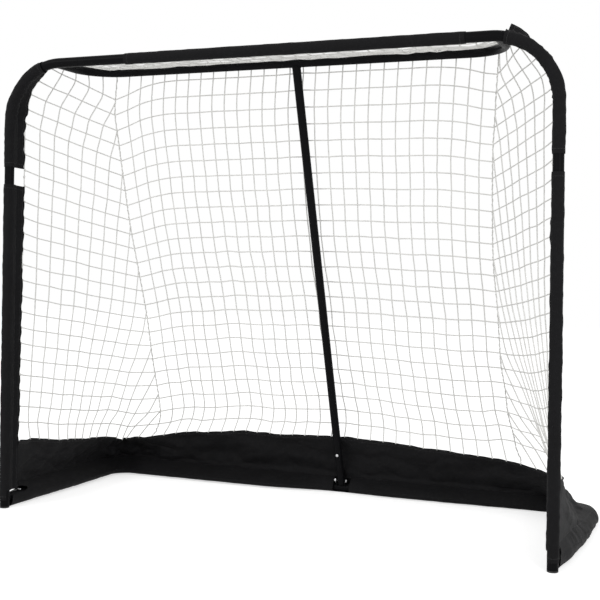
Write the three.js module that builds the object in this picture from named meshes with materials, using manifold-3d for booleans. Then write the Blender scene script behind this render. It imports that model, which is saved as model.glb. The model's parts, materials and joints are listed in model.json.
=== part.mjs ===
// A floorball goal: a knock-down frame of plug-together steel tubes with snap buttons, cloth sleeves and
// bands that hold the net, and the net itself. Millimetres, +Z up, the goal's mouth faces -Y.
import * as THREE from "three";
import { mergeVertices } from "three/addons/utils/BufferGeometryUtils.js";
import Module from "manifold-3d";

const wasm = await Module();
wasm.setup();

// The goal as a whole
const innerWidth = 1400;
const innerHeight = 1150;
const baseDepth = 580;
const roofDepth = 186;

// Tubes and how they plug together
const frontTube = 25;
const rearTube = 22;
const tubeWall = 1.2;
const fitGap = 0.3;
const overrun = 5;
const frontBend = 150;
const baseBendRadius = 90;
const baseSplay = 22;
const baseFrontHeight = 27;
// How far each joint lies past the end of the bend beside it
const postJointPast = 149.5;
const crossbarJointPast = 62.5;
const roofJointPast = 35;
const baseJointPast = 94.5;
// How far the roof arm stands in from the post
const armInset = 137.5;
const armStub = 45;
const baseStub = 50;
const strutStub = 30;
const strutFlare = 8;
const strutJointRise = 90;
// The strut stands this far to the right of the middle
const strutAside = 22;
const frontNeck = 40;
const rearNeck = 35;
// Straight tube between the roof arm's neck and the elbow's bend
const elbowStraight = 6;

// Foot caps
const capThickness = 4;
const capPlug = 15;

// Snap buttons and their leaf springs
const pinDiameter = 9;
const pinClearance = 0.25;
const pinProtrusion = 2.5;
const domeRise = 1.2;
const domeDiameter = 6;
const flangeDiameter = 12;
const flangeThickness = 1.5;
const leafWidth = 6;
const leafThickness = 0.6;
const leafLength = 28;
const leafReach = 4;

// The bolt that holds the strut's foot between two ears
const boltUp = 21.7;
const boltDiameter = 6;
const boltHead = 10;
const boltHeadHeight = 4;
const nutWidth = 11;
const nutHeight = 5;
const boltTail = 1.5;
const earRadius = 9;
const earThickness = 2.5;

// Cloth sleeves with the flap that the net is sewn to
const clothThickness = 1.5;
const flapThickness = 2.4;
const flapLength = 42;
const footFlapLength = 33;
const crossbarFlapLength = 14;
const flapTurnPost = 25;
const flapTurnCrossbar = -45;
const sleeveFoot = 50;
// Sleeve ends, from the joint beside them
const sleeveGapBelow = 8;
const sleeveGapAbove = 35;
const crossbarSleeveShort = 135;
const crossbarSleeveOver = 5;

// The band along the floor: a channel round the base tube and a sheet that stands up from it
const bandWall = 1.2;
const bandSheet = 1.6;
const bandHeight = 180;
const bandLean = 50;
const bandStart = 80;
const bandFront = 48;
const bandSplitPast = 50;
const bandLeanCurve = 1.6;
const bandFold = 5;
const bandFadeLength = 160;
const stationPitch = 160;
const slotSide = 16;
const slotReach = 26;
// Where the rows of its sheet stand, as shares of its height
const bandRowShares = [0, 0.25, 0.6, 1];
// Along the edge from post to middle: how far along, how high and how far it leans in, as shares
const bandEdgeShares = [
  [0, 1, 0.7],
  [0.18, 0.83, 0.8],
  [0.34, 0.69, 0.95],
  [0.44, 0.61, 1.2],
  [0.53, 0.65, 1.0],
  [0.6, 0.74, 0.84],
  [0.67, 0.82, 0.84],
  [0.78, 0.87, 0.84],
  [1, 0.9, 0.84],
];

// Net, with far fewer and wider gaps than the 42 mm mesh of the real one
const netThickness = 3;
const netCord = 4;
const netEdgeGap = 2;
const netStandOff = 19.5;
const netBow = 18;
const roofNetBack = 15;
const roofSag = 15;
// Half of the gap at the frame's corner, where the side net goes on as a second node
const netFoldGap = 0.65;
const netCornerHang = 52;
// Where the side net's top edge is held round the roof elbow, in degrees from straight back
const elbowTurns = [75, 60];
const elbowFold = 45;
const seamRadius = 3;
const seamGap = 0.4;
const seamTopInset = 43;
const seamFootInset = 134.5;
// How far out the seam hangs between its ends, as shares of the way up and of the straight line's place
const seamHangShares = [
  [0, 1],
  [0.1, 0.955],
  [0.25, 0.955],
  [0.5, 0.96],
  [0.8, 0.96],
  [1, 1],
];

// How finely round things are cut
const tubeSides = 10;
const pinSides = 8;
const seamSides = 6;
const nutSides = 6;
const bendSteps = 6;
const netRows = 8;
const rearColumns = 10;
const sideColumns = 5;
const cornerColumns = 1;
const roofRows = 2;
const mergeDistance = 0.001;

// Sizes worked out from those above
const frontRadius = frontTube / 2;
const rearRadius = rearTube / 2;
const postPlace = innerWidth / 2 + frontRadius;
const barHeight = innerHeight + frontRadius;
const channelBore = rearRadius + fitGap;
const channelRadius = channelBore + bandWall;
const pinHole = pinDiameter / 2 + pinClearance;
const boltHole = boltDiameter / 2 + fitGap;
const netTop = barHeight - rearRadius - netEdgeGap;
const roofBend = roofDepth - armStub - rearNeck - elbowStraight;
const armPlace = postPlace - armInset;
const postJoint = barHeight - frontBend - postJointPast;
const crossbarJoint = postPlace - frontBend - crossbarJointPast;
const roofJoint = armPlace - roofBend - roofJointPast;
const baseJoint = postPlace + baseSplay - baseBendRadius - baseJointPast;
const sleeveGapLow = postJoint - sleeveGapBelow;
const sleeveGapHigh = postJoint + sleeveGapAbove;
const crossbarSleeveLeft = crossbarJoint - crossbarSleeveShort;
const crossbarSleeveRight = crossbarJoint + crossbarSleeveOver;
const bandSplit = baseJoint + bandSplitPast;
const seamTop = armPlace - seamTopInset;
const seamFoot = postPlace - seamFootInset;

const vector = (x, y, z) => new THREE.Vector3(x, y, z);
const right = vector(1, 0, 0);
const back = vector(0, 1, 0);
const up = vector(0, 0, 1);
const boreOf = (radius) => radius - tubeWall;
const neckOf = (radius) => boreOf(radius) - fitGap;
const lerp = THREE.MathUtils.lerp;

// A place on a route and the direction the route takes there
const station = (at, along) => ({ at, along });

const moved = ({ at, along }, distance) =>
  station(at.clone().addScaledVector(along, distance), along);

// The places at both ends of a straight run
function straight(from, to) {
  const along = to.clone().sub(from).normalize();
  return [station(from, along), station(to, along)];
}

// A route with one round bend. place gives any point on it by its distance from the start, and stations
// the places that a tube between two distances is drawn through.
function bentRoute(from, corner, to, radius) {
  const inward = corner.clone().sub(from).normalize();
  const onward = to.clone().sub(corner).normalize();
  const turn = inward.angleTo(onward);
  const axis = inward.clone().cross(onward).normalize();
  const side = axis.clone().cross(inward);
  const tangent = radius * Math.tan(turn / 2);
  const lead = corner.distanceTo(from) - tangent;
  const arc = radius * turn;
  const length = lead + arc + corner.distanceTo(to) - tangent;
  const bendStart = from.clone().addScaledVector(inward, lead);
  const centre = bendStart.clone().addScaledVector(side, radius);
  const place = (distance) => {
    if (distance <= lead) return moved(station(from, inward), distance);
    if (distance >= lead + arc) return moved(station(to, onward), distance - length);
    const angle = (distance - lead) / radius;
    const at = centre
      .clone()
      .addScaledVector(side.clone().applyAxisAngle(axis, angle), -radius);
    return station(at, inward.clone().applyAxisAngle(axis, angle));
  };
  const distances = (start, end, pitch = Infinity) => {
    const marks = [start];
    for (let i = 0; i <= bendSteps; i++) {
      const mark = lead + (arc * i) / bendSteps;
      if (mark > start && mark < end) marks.push(mark);
    }
    marks.push(end);
    return marks.flatMap((mark, i) => {
      if (i === 0) return [mark];
      const step = mark - marks[i - 1];
      const parts = Math.max(1, Math.ceil(step / pitch));
      return Array.from({ length: parts }, (_, k) => marks[i - 1] + (step * (k + 1)) / parts);
    });
  };
  const stations = (start, end, pitch) => distances(start, end, pitch).map(place);
  return { length, lead, arc, place, distances, stations };
}

// A round of points about a place, from the side towards the binormal
function ring({ at, along }, binormal, radius, sides = tubeSides) {
  const normal = binormal.clone().cross(along);
  return Array.from({ length: sides }, (_, k) => {
    const angle = (2 * Math.PI * k) / sides;
    return at
      .clone()
      .addScaledVector(normal, radius * Math.cos(angle))
      .addScaledVector(binormal, radius * Math.sin(angle));
  });
}

// A closed surface through rounds of points: joined end to end, or with an end face on both sides
function skin(rings, joined = false) {
  const points = rings.flat();
  const sides = rings[0].length;
  const faces = [];
  const bands = joined ? rings.length : rings.length - 1;
  for (let i = 0; i < bands; i++) {
    const here = i * sides;
    const next = ((i + 1) % rings.length) * sides;
    for (let k = 0; k < sides; k++) {
      const turn = (k + 1) % sides;
      faces.push(here + k, here + turn, next + turn);
      faces.push(here + k, next + turn, next + k);
    }
  }
  if (!joined) {
    for (const i of [0, rings.length - 1]) {
      const middle = points.length;
      const sum = rings[i].reduce((total, point) => total.add(point), vector(0, 0, 0));
      points.push(sum.divideScalar(sides));
      for (let k = 0; k < sides; k++) {
        const edge = [i * sides + k, i * sides + ((k + 1) % sides)];
        faces.push(middle, ...(i ? edge : edge.reverse()));
      }
    }
  }
  const geometry = new THREE.BufferGeometry().setFromPoints(points);
  geometry.setIndex(faces);
  return geometry;
}

// A sheet with a thickness over a grid of points, with some of its cells left open
function sheet(grid, thickness, isOpen = () => false) {
  const columns = grid.length;
  const rows = grid[0].length;
  const points = [];
  const clamp = (value, top) => Math.min(Math.max(value, 0), top);
  const at = (i, j) => grid[clamp(i, columns - 1)][clamp(j, rows - 1)];
  for (let i = 0; i < columns; i++) {
    for (let j = 0; j < rows; j++) {
      const across = at(i + 1, j).clone().sub(at(i - 1, j));
      const upwards = at(i, j + 1).clone().sub(at(i, j - 1));
      const normal = across.cross(upwards).normalize();
      points.push(grid[i][j].clone().addScaledVector(normal, thickness / 2));
      points.push(grid[i][j].clone().addScaledVector(normal, -thickness / 2));
    }
  }
  const front = ([i, j]) => 2 * (i * rows + j);
  const filled = (i, j) =>
    i >= 0 && j >= 0 && i < columns - 1 && j < rows - 1 && !isOpen(i, j);
  const faces = [];
  const quad = (a, b, c, d) => faces.push(a, b, c, a, c, d);
  for (let i = 0; i < columns - 1; i++) {
    for (let j = 0; j < rows - 1; j++) {
      if (!filled(i, j)) continue;
      const corners = [[i, j], [i + 1, j], [i + 1, j + 1], [i, j + 1]].map(front);
      const [a, b, c, d] = corners;
      quad(a, b, c, d);
      quad(a + 1, d + 1, c + 1, b + 1);
      const beside = [[i, j - 1], [i + 1, j], [i, j + 1], [i - 1, j]];
      beside.forEach((cell, k) => {
        const here = corners[k];
        const next = corners[(k + 1) % corners.length];
        if (!filled(...cell)) quad(next, here, here + 1, next + 1);
      });
    }
  }
  const geometry = new THREE.BufferGeometry().setFromPoints(points);
  geometry.setIndex(faces);
  return geometry;
}

function solid(geometry) {
  const bare = geometry.clone();
  bare.deleteAttribute("normal");
  bare.deleteAttribute("uv");
  const merged = mergeVertices(bare, mergeDistance);
  return new wasm.Manifold(
    new wasm.Mesh({
      numProp: 3,
      vertProperties: merged.attributes.position.array,
      triVerts: new Uint32Array(merged.index.array),
    }),
  );
}

function geometryOf(body) {
  const mesh = body.getMesh();
  const geometry = new THREE.BufferGeometry();
  geometry.setAttribute("position", new THREE.BufferAttribute(mesh.vertProperties, mesh.numProp));
  geometry.setIndex(new THREE.BufferAttribute(mesh.triVerts, 1));
  return geometry;
}

const rod = (path, binormal, radius, sides = tubeSides) =>
  solid(skin(path.map((place) => ring(place, binormal, radius, sides))));

// The outside of a tube, with a neck past either end where it plugs into the next one
function outsideOf(path, binormal, radius, necks) {
  const profile = path.map((place) => [place, radius]);
  const first = path[0];
  const last = path.at(-1);
  const neck = neckOf(radius);
  if (necks[0]) profile.unshift([moved(first, -necks[0]), neck], [first, neck]);
  if (necks[1]) profile.push([last, neck], [moved(last, necks[1]), neck]);
  return solid(skin(profile.map(([place, size]) => ring(place, binormal, size))));
}

// The bore of the same tube, run past its open ends. A welded stub's bore stays closed at its start.
function boreThrough(path, binormal, radius, necks, openStart = true) {
  const wide = boreOf(radius);
  const narrow = boreOf(neckOf(radius));
  const profile = path.slice(1, -1).map((place) => [place, wide]);
  const endProfile = (end, neck, way, open) => {
    const step = moved(end, -way * tubeWall);
    if (neck) return [[step, wide], [step, narrow], [moved(end, way * (neck + overrun)), narrow]];
    return [[moved(end, open ? way * overrun : 0), wide]];
  };
  profile.unshift(...endProfile(path[0], necks[0], -1, openStart).reverse());
  profile.push(...endProfile(path.at(-1), necks[1], 1, true));
  return solid(skin(profile.map(([place, size]) => ring(place, binormal, size))));
}

// A tube with stubs and ears welded on, holes drilled and every bore open
function weldedTube({ path, binormal, radius, necks = [0, 0], stubs = [], ears = [], cuts = [] }) {
  let body = outsideOf(path, binormal, radius, necks);
  const openings = [boreThrough(path, binormal, radius, necks), ...cuts];
  for (const stub of stubs) {
    const root = station(stub.from, stub.along);
    const end = moved(root, stub.length);
    const ends = [0, stub.neck];
    body = body.add(outsideOf([moved(root, stub.start), end], stub.binormal, rearRadius, ends));
    openings.push(boreThrough([moved(root, radius), end], stub.binormal, rearRadius, ends, false));
  }
  for (const ear of ears) body = body.add(ear);
  return geometryOf(openings.reduce((piece, opening) => piece.subtract(opening), body));
}

// Reads a value off a table of rows that start with how far along they stand
function readShares(table, share, column = 1) {
  const next = Math.max(1, table.findIndex((row) => row[0] >= share));
  const [low, high] = [table[next - 1], table[next]];
  return lerp(low[column], high[column], (share - low[0]) / (high[0] - low[0]));
}

// Front frame, base frame and strut as lines
const frontRoute = bentRoute(
  vector(postPlace, 0, 0),
  vector(postPlace, 0, barHeight),
  vector(0, 0, barHeight),
  frontBend,
);
const baseRearHeight = channelRadius;
const baseRoute = bentRoute(
  vector(postPlace, 0, baseFrontHeight),
  vector(postPlace + baseSplay, baseDepth, baseRearHeight),
  vector(0, baseDepth, baseRearHeight),
  baseBendRadius,
);
const roofRoute = bentRoute(
  vector(armPlace, 0, barHeight),
  vector(armPlace, roofDepth, barHeight),
  vector(0, roofDepth, barHeight),
  roofBend,
);
const baseAlong = baseRoute.place(0).along;
const baseUp = right.clone().cross(vector(0, baseDepth, baseRearHeight - baseFrontHeight)).normalize();
const strutHead = vector(strutAside, roofDepth, barHeight);
const strutFoot = vector(strutAside, baseDepth, baseRearHeight);
const strutLength = strutHead.distanceTo(strutFoot);
const strutAlong = strutFoot.clone().sub(strutHead).normalize();
const strutPlace = (distance) => moved(station(strutHead, strutAlong), distance);
const strutFront = strutAlong.clone().cross(right);
const netRise = strutLength - bandHeight;

// Where each snap button sits: on the axis of its neck, which way it points and where its spring runs
const snaps = {
  post: {
    at: vector(postPlace, 0, postJoint + frontNeck / 2),
    out: back,
    spring: up.clone().negate(),
    radius: frontRadius,
  },
  crossbar: {
    at: vector(crossbarJoint + frontNeck / 2, 0, barHeight),
    out: back,
    spring: right.clone().negate(),
    radius: frontRadius,
  },
  arm: {
    at: vector(armPlace, armStub + rearNeck / 2, barHeight),
    out: up,
    spring: back.clone().negate(),
    radius: rearRadius,
  },
  base: {
    at: baseRoute.place(baseStub + rearNeck / 2).at,
    out: baseUp,
    spring: baseAlong.clone().negate(),
    radius: rearRadius,
  },
  strut: {
    at: strutPlace(strutLength - strutJointRise - rearNeck / 2).at,
    out: strutFront,
    spring: strutAlong,
    radius: rearRadius,
  },
};

function snapHole({ at, out, spring, radius }) {
  const root = station(at, out);
  return rod([root, moved(root, radius + overrun)], spring, pinHole, pinSides);
}

const mirrored = (point) => vector(-point.x, point.y, point.z);
const mirroredStation = ({ at, along }) => station(mirrored(at), mirrored(along));

// Materials
const powderCoat = new THREE.MeshStandardMaterial({ color: 0x1c1d22, roughness: 0.3, metalness: 0.2 });
const plainSteel = new THREE.MeshStandardMaterial({ color: 0xb8babd, roughness: 0.3, metalness: 1 });
const blackPlastic = new THREE.MeshStandardMaterial({ color: 0x151517, roughness: 0.6 });
const blackCloth = new THREE.MeshStandardMaterial({ color: 0x1c1c1d, roughness: 0.9 });
const netTwine = new THREE.MeshStandardMaterial({ color: 0xd4d6d8, roughness: 0.8 });

const goal = new THREE.Group();

function addPart(name, geometry, material) {
  const mesh = new THREE.Mesh(geometry, material);
  geometry.computeVertexNormals();
  mesh.name = name;
  goal.add(mesh);
  return mesh;
}

// A right hand piece and its mirror image on the left
function addPair(name, geometry, material) {
  addPart(name + "_right", geometry, material);
  addPart(name + "_left", geometry, material).scale.x = -1;
}

// Posts, with the stub for the base tube welded to the back
function addPosts() {
  const foot = capThickness + fitGap;
  const stub = {
    from: baseRoute.place(0).at,
    along: baseAlong,
    binormal: baseUp,
    start: tubeWall * 4,
    length: baseStub,
    neck: rearNeck,
  };
  const geometry = weldedTube({
    path: straight(vector(postPlace, 0, foot), vector(postPlace, 0, postJoint)),
    binormal: back,
    radius: frontRadius,
    necks: [0, frontNeck],
    stubs: [stub],
    cuts: [snapHole(snaps.post), snapHole(snaps.base)],
  });
  addPair("post", geometry, powderCoat);
}

function addFootCaps() {
  const plug = boreOf(frontRadius) - fitGap;
  const profile = [
    [0, frontRadius],
    [capThickness, frontRadius],
    [capThickness, plug],
    [capThickness + capPlug, plug],
  ];
  const rings = profile.map(([height, size]) =>
    ring(station(vector(postPlace, 0, height), up), back, size),
  );
  addPair("foot_cap", skin(rings), blackPlastic);
}

// The bend between post and crossbar, with the stub for the roof arm welded to the back
function addCornerBends() {
  const end = frontRoute.length - crossbarJoint - fitGap;
  const stub = {
    from: vector(armPlace, 0, barHeight),
    along: back,
    binormal: up,
    start: tubeWall * 4,
    length: armStub,
    neck: rearNeck,
  };
  const geometry = weldedTube({
    path: frontRoute.stations(postJoint + fitGap, end),
    binormal: back,
    radius: frontRadius,
    stubs: [stub],
    cuts: [snapHole(snaps.post), snapHole(snaps.crossbar), snapHole(snaps.arm)],
  });
  addPair("corner_bend", geometry, powderCoat);
}

function addCrossbar() {
  const reach = crossbarJoint;
  const leftSnap = { ...snaps.crossbar, at: mirrored(snaps.crossbar.at) };
  const geometry = weldedTube({
    path: straight(vector(-reach, 0, barHeight), vector(reach, 0, barHeight)),
    binormal: back,
    radius: frontRadius,
    necks: [frontNeck, frontNeck],
    cuts: [snapHole(snaps.crossbar), snapHole(leftSnap)],
  });
  addPart("crossbar", geometry, powderCoat);
}

function addRoof() {
  const elbow = weldedTube({
    path: roofRoute.stations(armStub + fitGap, roofRoute.length - roofJoint - fitGap),
    binormal: up,
    radius: rearRadius,
    cuts: [snapHole(snaps.arm)],
  });
  addPair("roof_elbow", elbow, powderCoat);
  const stub = {
    from: strutHead,
    along: strutAlong,
    binormal: right,
    start: -strutFlare,
    length: strutStub,
    neck: rearNeck,
  };
  const bar = weldedTube({
    path: straight(vector(-roofJoint, roofDepth, barHeight), vector(roofJoint, roofDepth, barHeight)),
    binormal: up,
    radius: rearRadius,
    necks: [rearNeck, rearNeck],
    stubs: [stub],
  });
  addPart("roof_rear_bar", bar, powderCoat);
}

// One ear of the strut's bracket, from the bar's axis to past the bolt
function earAt(place) {
  const outline = new THREE.Shape();
  outline.absarc(boltUp, 0, earRadius, -Math.PI / 2, Math.PI / 2);
  outline.lineTo(0, earRadius);
  outline.lineTo(0, -earRadius);
  const hole = new THREE.Path();
  hole.absarc(boltUp, 0, boltHole, 0, 2 * Math.PI);
  outline.holes.push(hole);
  const geometry = new THREE.ExtrudeGeometry(outline, {
    depth: earThickness,
    bevelEnabled: false,
    curveSegments: tubeSides / 2,
  });
  const rise = strutAlong.clone().negate();
  const turned = new THREE.Matrix4().makeBasis(rise, right.clone().cross(rise), right);
  turned.setPosition(strutFoot.clone().addScaledVector(right, place));
  return solid(geometry.applyMatrix4(turned));
}

function addBase() {
  const side = weldedTube({
    path: baseRoute.stations(baseStub + fitGap, baseRoute.length - baseJoint - fitGap),
    binormal: baseUp,
    radius: rearRadius,
    cuts: [snapHole(snaps.base)],
  });
  addPair("base_side", side, powderCoat);
  const earPlace = rearRadius + fitGap;
  const bar = weldedTube({
    path: straight(
      vector(-baseJoint, baseDepth, baseRearHeight),
      vector(baseJoint, baseDepth, baseRearHeight),
    ),
    binormal: baseUp,
    radius: rearRadius,
    necks: [rearNeck, rearNeck],
    ears: [earAt(earPlace), earAt(-earPlace - earThickness)],
  });
  addPart("base_rear_bar", bar, powderCoat);
}

function addStrut() {
  const footStart = strutLength - strutJointRise;
  const tube = weldedTube({
    path: [strutPlace(strutStub + fitGap), strutPlace(footStart - fitGap)],
    binormal: right,
    radius: rearRadius,
    cuts: [snapHole(snaps.strut)],
  });
  addPart("strut_tube", tube, powderCoat);
  const boltPlace = strutPlace(strutLength - boltUp).at;
  const across = station(boltPlace, right);
  const half = rearRadius + overrun;
  const foot = weldedTube({
    path: [strutPlace(footStart), strutPlace(strutLength - rearRadius - fitGap)],
    binormal: right,
    radius: rearRadius,
    necks: [rearNeck, 0],
    cuts: [snapHole(snaps.strut), rod([moved(across, -half), moved(across, half)], back, boltHole)],
  });
  addPart("strut_foot", foot, powderCoat);
}

// The bolt through the ears and the strut's foot, its head on the right, its nut on the left
function addStrutBolt() {
  const across = station(strutPlace(strutLength - boltUp).at, right);
  const seat = rearRadius + 2 * fitGap + earThickness;
  const tail = seat + nutHeight + boltTail;
  const profile = [
    [-tail, boltDiameter / 2],
    [seat, boltDiameter / 2],
    [seat, boltHead / 2],
    [seat + boltHeadHeight / 2, boltHead / 2],
    [seat + boltHeadHeight, boltHead / 4],
  ];
  const rings = profile.map(([place, size]) => ring(moved(across, place), back, size));
  addPart("strut_foot_bolt", skin(rings), plainSteel);
  const flats = [moved(across, -seat - nutHeight), moved(across, -seat)];
  const hexagon = solid(skin(flats.map((place) => ring(place, back, nutWidth / 2, nutSides))));
  const thread = [moved(flats[0], -overrun), moved(flats[1], overrun)];
  addPart("strut_foot_nut", geometryOf(hexagon.subtract(rod(thread, back, boltHole))), plainSteel);
}

// A snap button on its flange inside the neck, and the bent leaf that pushes it out
function addSnap(name, snap, add) {
  const flat = boreOf(neckOf(snap.radius)) * Math.cos(Math.PI / tubeSides);
  const flangeRadius = flangeDiameter / 2;
  const flangeTop = Math.sqrt(flat ** 2 - flangeRadius ** 2) - fitGap;
  const tip = snap.radius + pinProtrusion;
  const root = station(snap.at, snap.out);
  const profile = [
    [flangeTop - flangeThickness, flangeRadius],
    [flangeTop, flangeRadius],
    [flangeTop, pinDiameter / 2],
    [tip - domeRise, pinDiameter / 2],
    [tip, domeDiameter / 2],
  ];
  const rings = profile.map(([height, size]) => ring(moved(root, height), snap.spring, size, pinSides));
  add(name + "_button", skin(rings), plainSteel);
  const high = flangeTop - flangeThickness - fitGap;
  const low = fitGap - Math.sqrt(flat ** 2 - (leafWidth / 2) ** 2);
  const middle = (high + low) / 2;
  const leaf = new THREE.Shape([
    new THREE.Vector2(-leafReach, high),
    new THREE.Vector2(-leafReach, high - leafThickness),
    new THREE.Vector2(leafLength - 2 * leafThickness, middle),
    new THREE.Vector2(-leafReach, low + leafThickness),
    new THREE.Vector2(-leafReach, low),
    new THREE.Vector2(leafLength, middle - leafThickness),
    new THREE.Vector2(leafLength, middle + leafThickness),
  ]);
  const geometry = new THREE.ExtrudeGeometry(leaf, { depth: leafWidth, bevelEnabled: false });
  const across = snap.spring.clone().cross(snap.out);
  const turned = new THREE.Matrix4().makeBasis(snap.spring, snap.out, across);
  turned.setPosition(snap.at.clone().addScaledVector(across, -leafWidth / 2));
  add(name + "_button_spring", geometry.applyMatrix4(turned), plainSteel);
}

// A ring of cloth along a tube
function clothRing(path, binormal, inner, wall) {
  const outer = path.map((place) => ring(place, binormal, inner + wall));
  const within = path.map((place) => ring(place, binormal, inner)).reverse();
  return solid(skin([...outer, ...within], true));
}

const sleeveBore = frontRadius + fitGap;

// Which way the flap of a sleeve on the front frame points, and how far it reaches from the axis
function flapAt(distance) {
  const { at, along } = frontRoute.place(distance);
  const inward = along.clone().cross(back);
  const bendShare = THREE.MathUtils.clamp((distance - frontRoute.lead) / frontRoute.arc, 0, 1);
  const heightShare = THREE.MathUtils.clamp(distance / postJoint, 0, 1);
  const turn = THREE.MathUtils.degToRad(lerp(flapTurnPost, flapTurnCrossbar, bendShare));
  const direction = back.clone().multiplyScalar(Math.cos(turn)).addScaledVector(inward, Math.sin(turn));
  const reach = frontRadius + lerp(footFlapLength, flapLength, heightShare);
  return { at, direction, reach };
}

const flapPoint = ({ at, direction }, reach) => at.clone().addScaledVector(direction, reach);

function frontSleeve(start, end, pitch) {
  const distances = frontRoute.distances(start, end, pitch);
  const flap = distances.map((distance) => {
    const here = flapAt(distance);
    return [flapPoint(here, sleeveBore + clothThickness / 2), flapPoint(here, here.reach)];
  });
  const tube = clothRing(distances.map(frontRoute.place), back, sleeveBore, clothThickness);
  return geometryOf(tube.add(solid(sheet(flap, flapThickness))));
}

const sleeveEnd = frontRoute.lead + (frontRoute.arc * (bendSteps - 1)) / bendSteps;

function addSleeves() {
  addPair("corner_sleeve", frontSleeve(sleeveGapHigh, sleeveEnd), blackCloth);
  addPair("post_sleeve", frontSleeve(sleeveFoot, sleeveGapLow, stationPitch * 2), blackCloth);
  const ends = straight(
    vector(-crossbarSleeveLeft, 0, barHeight),
    vector(crossbarSleeveRight, 0, barHeight),
  );
  const flap = ends.map(({ at }) => [
    at.clone().addScaledVector(back, sleeveBore + clothThickness / 2),
    at.clone().addScaledVector(back, frontRadius + crossbarFlapLength),
  ]);
  const tube = clothRing(ends, back, sleeveBore, clothThickness);
  addPart("crossbar_sleeve", geometryOf(tube.add(solid(sheet(flap, flapThickness)))), blackCloth);
}

// A point of the band's sheet: from its root on the channel up to its top edge
function bandPoint(distance, height) {
  const { at, along } = baseRoute.place(distance);
  const outward = along.clone().cross(up);
  const share = THREE.MathUtils.clamp(distance / baseRoute.length, 0, 1);
  const lean = bandLean * readShares(bandEdgeShares, share, 2) * height ** bandLeanCurve;
  const bendShare = (distance - baseRoute.lead) / baseRoute.arc;
  const folded = bendShare > 0 && bendShare < 1;
  const fold = folded ? bandFold * Math.sin(bendShare * bendSteps * Math.PI) * height : 0;
  const top = bandHeight * readShares(bandEdgeShares, share);
  const rim = channelRadius - bandWall / 2;
  const point = at.clone().addScaledVector(outward, rim - lean + fold);
  point.z = lerp(at.z, top, height);
  return point;
}

// The sheet's front edge slopes forward from the channel to the post's flap
function bandDistance(distance, height) {
  const fade = THREE.MathUtils.clamp(1 - (distance - bandStart) / bandFadeLength, 0, 1);
  return distance - (bandStart - bandFront) * height * fade;
}

function addBands() {
  const splitAt = baseRoute.length - bandSplit;
  const sideDistances = baseRoute.distances(bandStart, splitAt - fitGap, stationPitch);
  const sideGrid = sideDistances.map((distance) =>
    bandRowShares.map((height) => bandPoint(bandDistance(distance, height), height)),
  );
  const sideChannel = clothRing(sideDistances.map(baseRoute.place), baseUp, channelBore, bandWall);
  addPair("band", geometryOf(sideChannel.add(solid(sheet(sideGrid, bandSheet)))), blackCloth);

  const half = baseRoute.distances(splitAt, baseRoute.length, stationPitch);
  const halfGrid = half.map((distance) =>
    bandRowShares.map((height) => bandPoint(distance, height)),
  );
  const mirrorGrid = halfGrid.slice(0, -1).map((column) => column.map(mirrored));
  const grid = [...halfGrid, ...mirrorGrid.reverse()];
  const ends = [baseRoute.place(splitAt), mirroredStation(baseRoute.place(splitAt))];
  const channel = clothRing(straight(ends[0].at, ends[1].at), baseUp, channelBore, bandWall);
  const rise = strutAlong.clone().negate();
  const slotHalf = rearRadius + fitGap;
  const slot = new THREE.BoxGeometry(slotReach, 2 * slotHalf, 2 * slotSide);
  const turned = new THREE.Matrix4().makeBasis(rise, right.clone().cross(rise), right);
  turned.setPosition(strutFoot.clone().addScaledVector(rise, slotReach / 2));
  const cut = channel.subtract(solid(slot.applyMatrix4(turned)));
  addPart("band_rear", geometryOf(cut.add(solid(sheet(grid, bandSheet)))), blackCloth);
}

// The seam from the band's corner up to the roof elbow
const seamStart = baseRoute.length - seamFoot;
const elbowCentre = armPlace - roofBend;

// A point round the outside of the roof U just under the tubes, by its distance from the middle
function roofEdge(across) {
  const beyond = Math.max(0, Math.abs(across) - elbowCentre);
  const reach = roofBend + netStandOff;
  const depth = roofDepth - roofBend + Math.sqrt(reach ** 2 - beyond ** 2);
  return vector(across, depth, netTop);
}

const lift = (point, height) => point.addScaledVector(up, height);

function seamPoint(share) {
  const foot = lift(bandPoint(seamStart, 1), seamRadius);
  const head = roofEdge(seamTop);
  const point = foot.clone().lerp(head, share);
  point.x *= readShares(seamHangShares, share);
  return point;
}

// Where the cords of a net begin and end across its size, as shares of it
function cordShares(gaps, size) {
  const cord = netCord / size;
  const pitch = (1 - cord) / gaps;
  return Array.from({ length: gaps + 1 }, (_, k) => [k * pitch, k * pitch + cord]).flat();
}

function addSeams() {
  const path = cordShares(netRows, netRise).map(seamPoint);
  const last = path.length - 1;
  const rings = path.map((point, i) => {
    const along = path[Math.min(i + 1, last)].clone().sub(path[Math.max(i - 1, 0)]).normalize();
    const across = right.clone().addScaledVector(along, -right.dot(along)).normalize();
    return ring(station(point, along), across, seamRadius, seamSides);
  });
  addPair("seam_cord", skin(rings), netTwine);
}

// A surface between four edges that meet at its corners
function between(low, high, start, end) {
  return (u, v) =>
    low(u)
      .multiplyScalar(1 - v)
      .addScaledVector(high(u), v)
      .addScaledVector(start(v), 1 - u)
      .addScaledVector(end(v), u)
      .addScaledVector(low(0), -(1 - u) * (1 - v))
      .addScaledVector(low(1), -u * (1 - v))
      .addScaledVector(high(0), -(1 - u) * v)
      .addScaledVector(high(1), -u * v);
}

// Net over a surface: cords both ways with open gaps between them
function net(surface, columns, rows, length, height) {
  const shares = cordShares(rows, height);
  const grid = cordShares(columns, length).map((u) => shares.map((v) => surface(u, v)));
  return sheet(grid, netThickness, (i, j) => i % 2 === 1 && j % 2 === 1);
}

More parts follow.
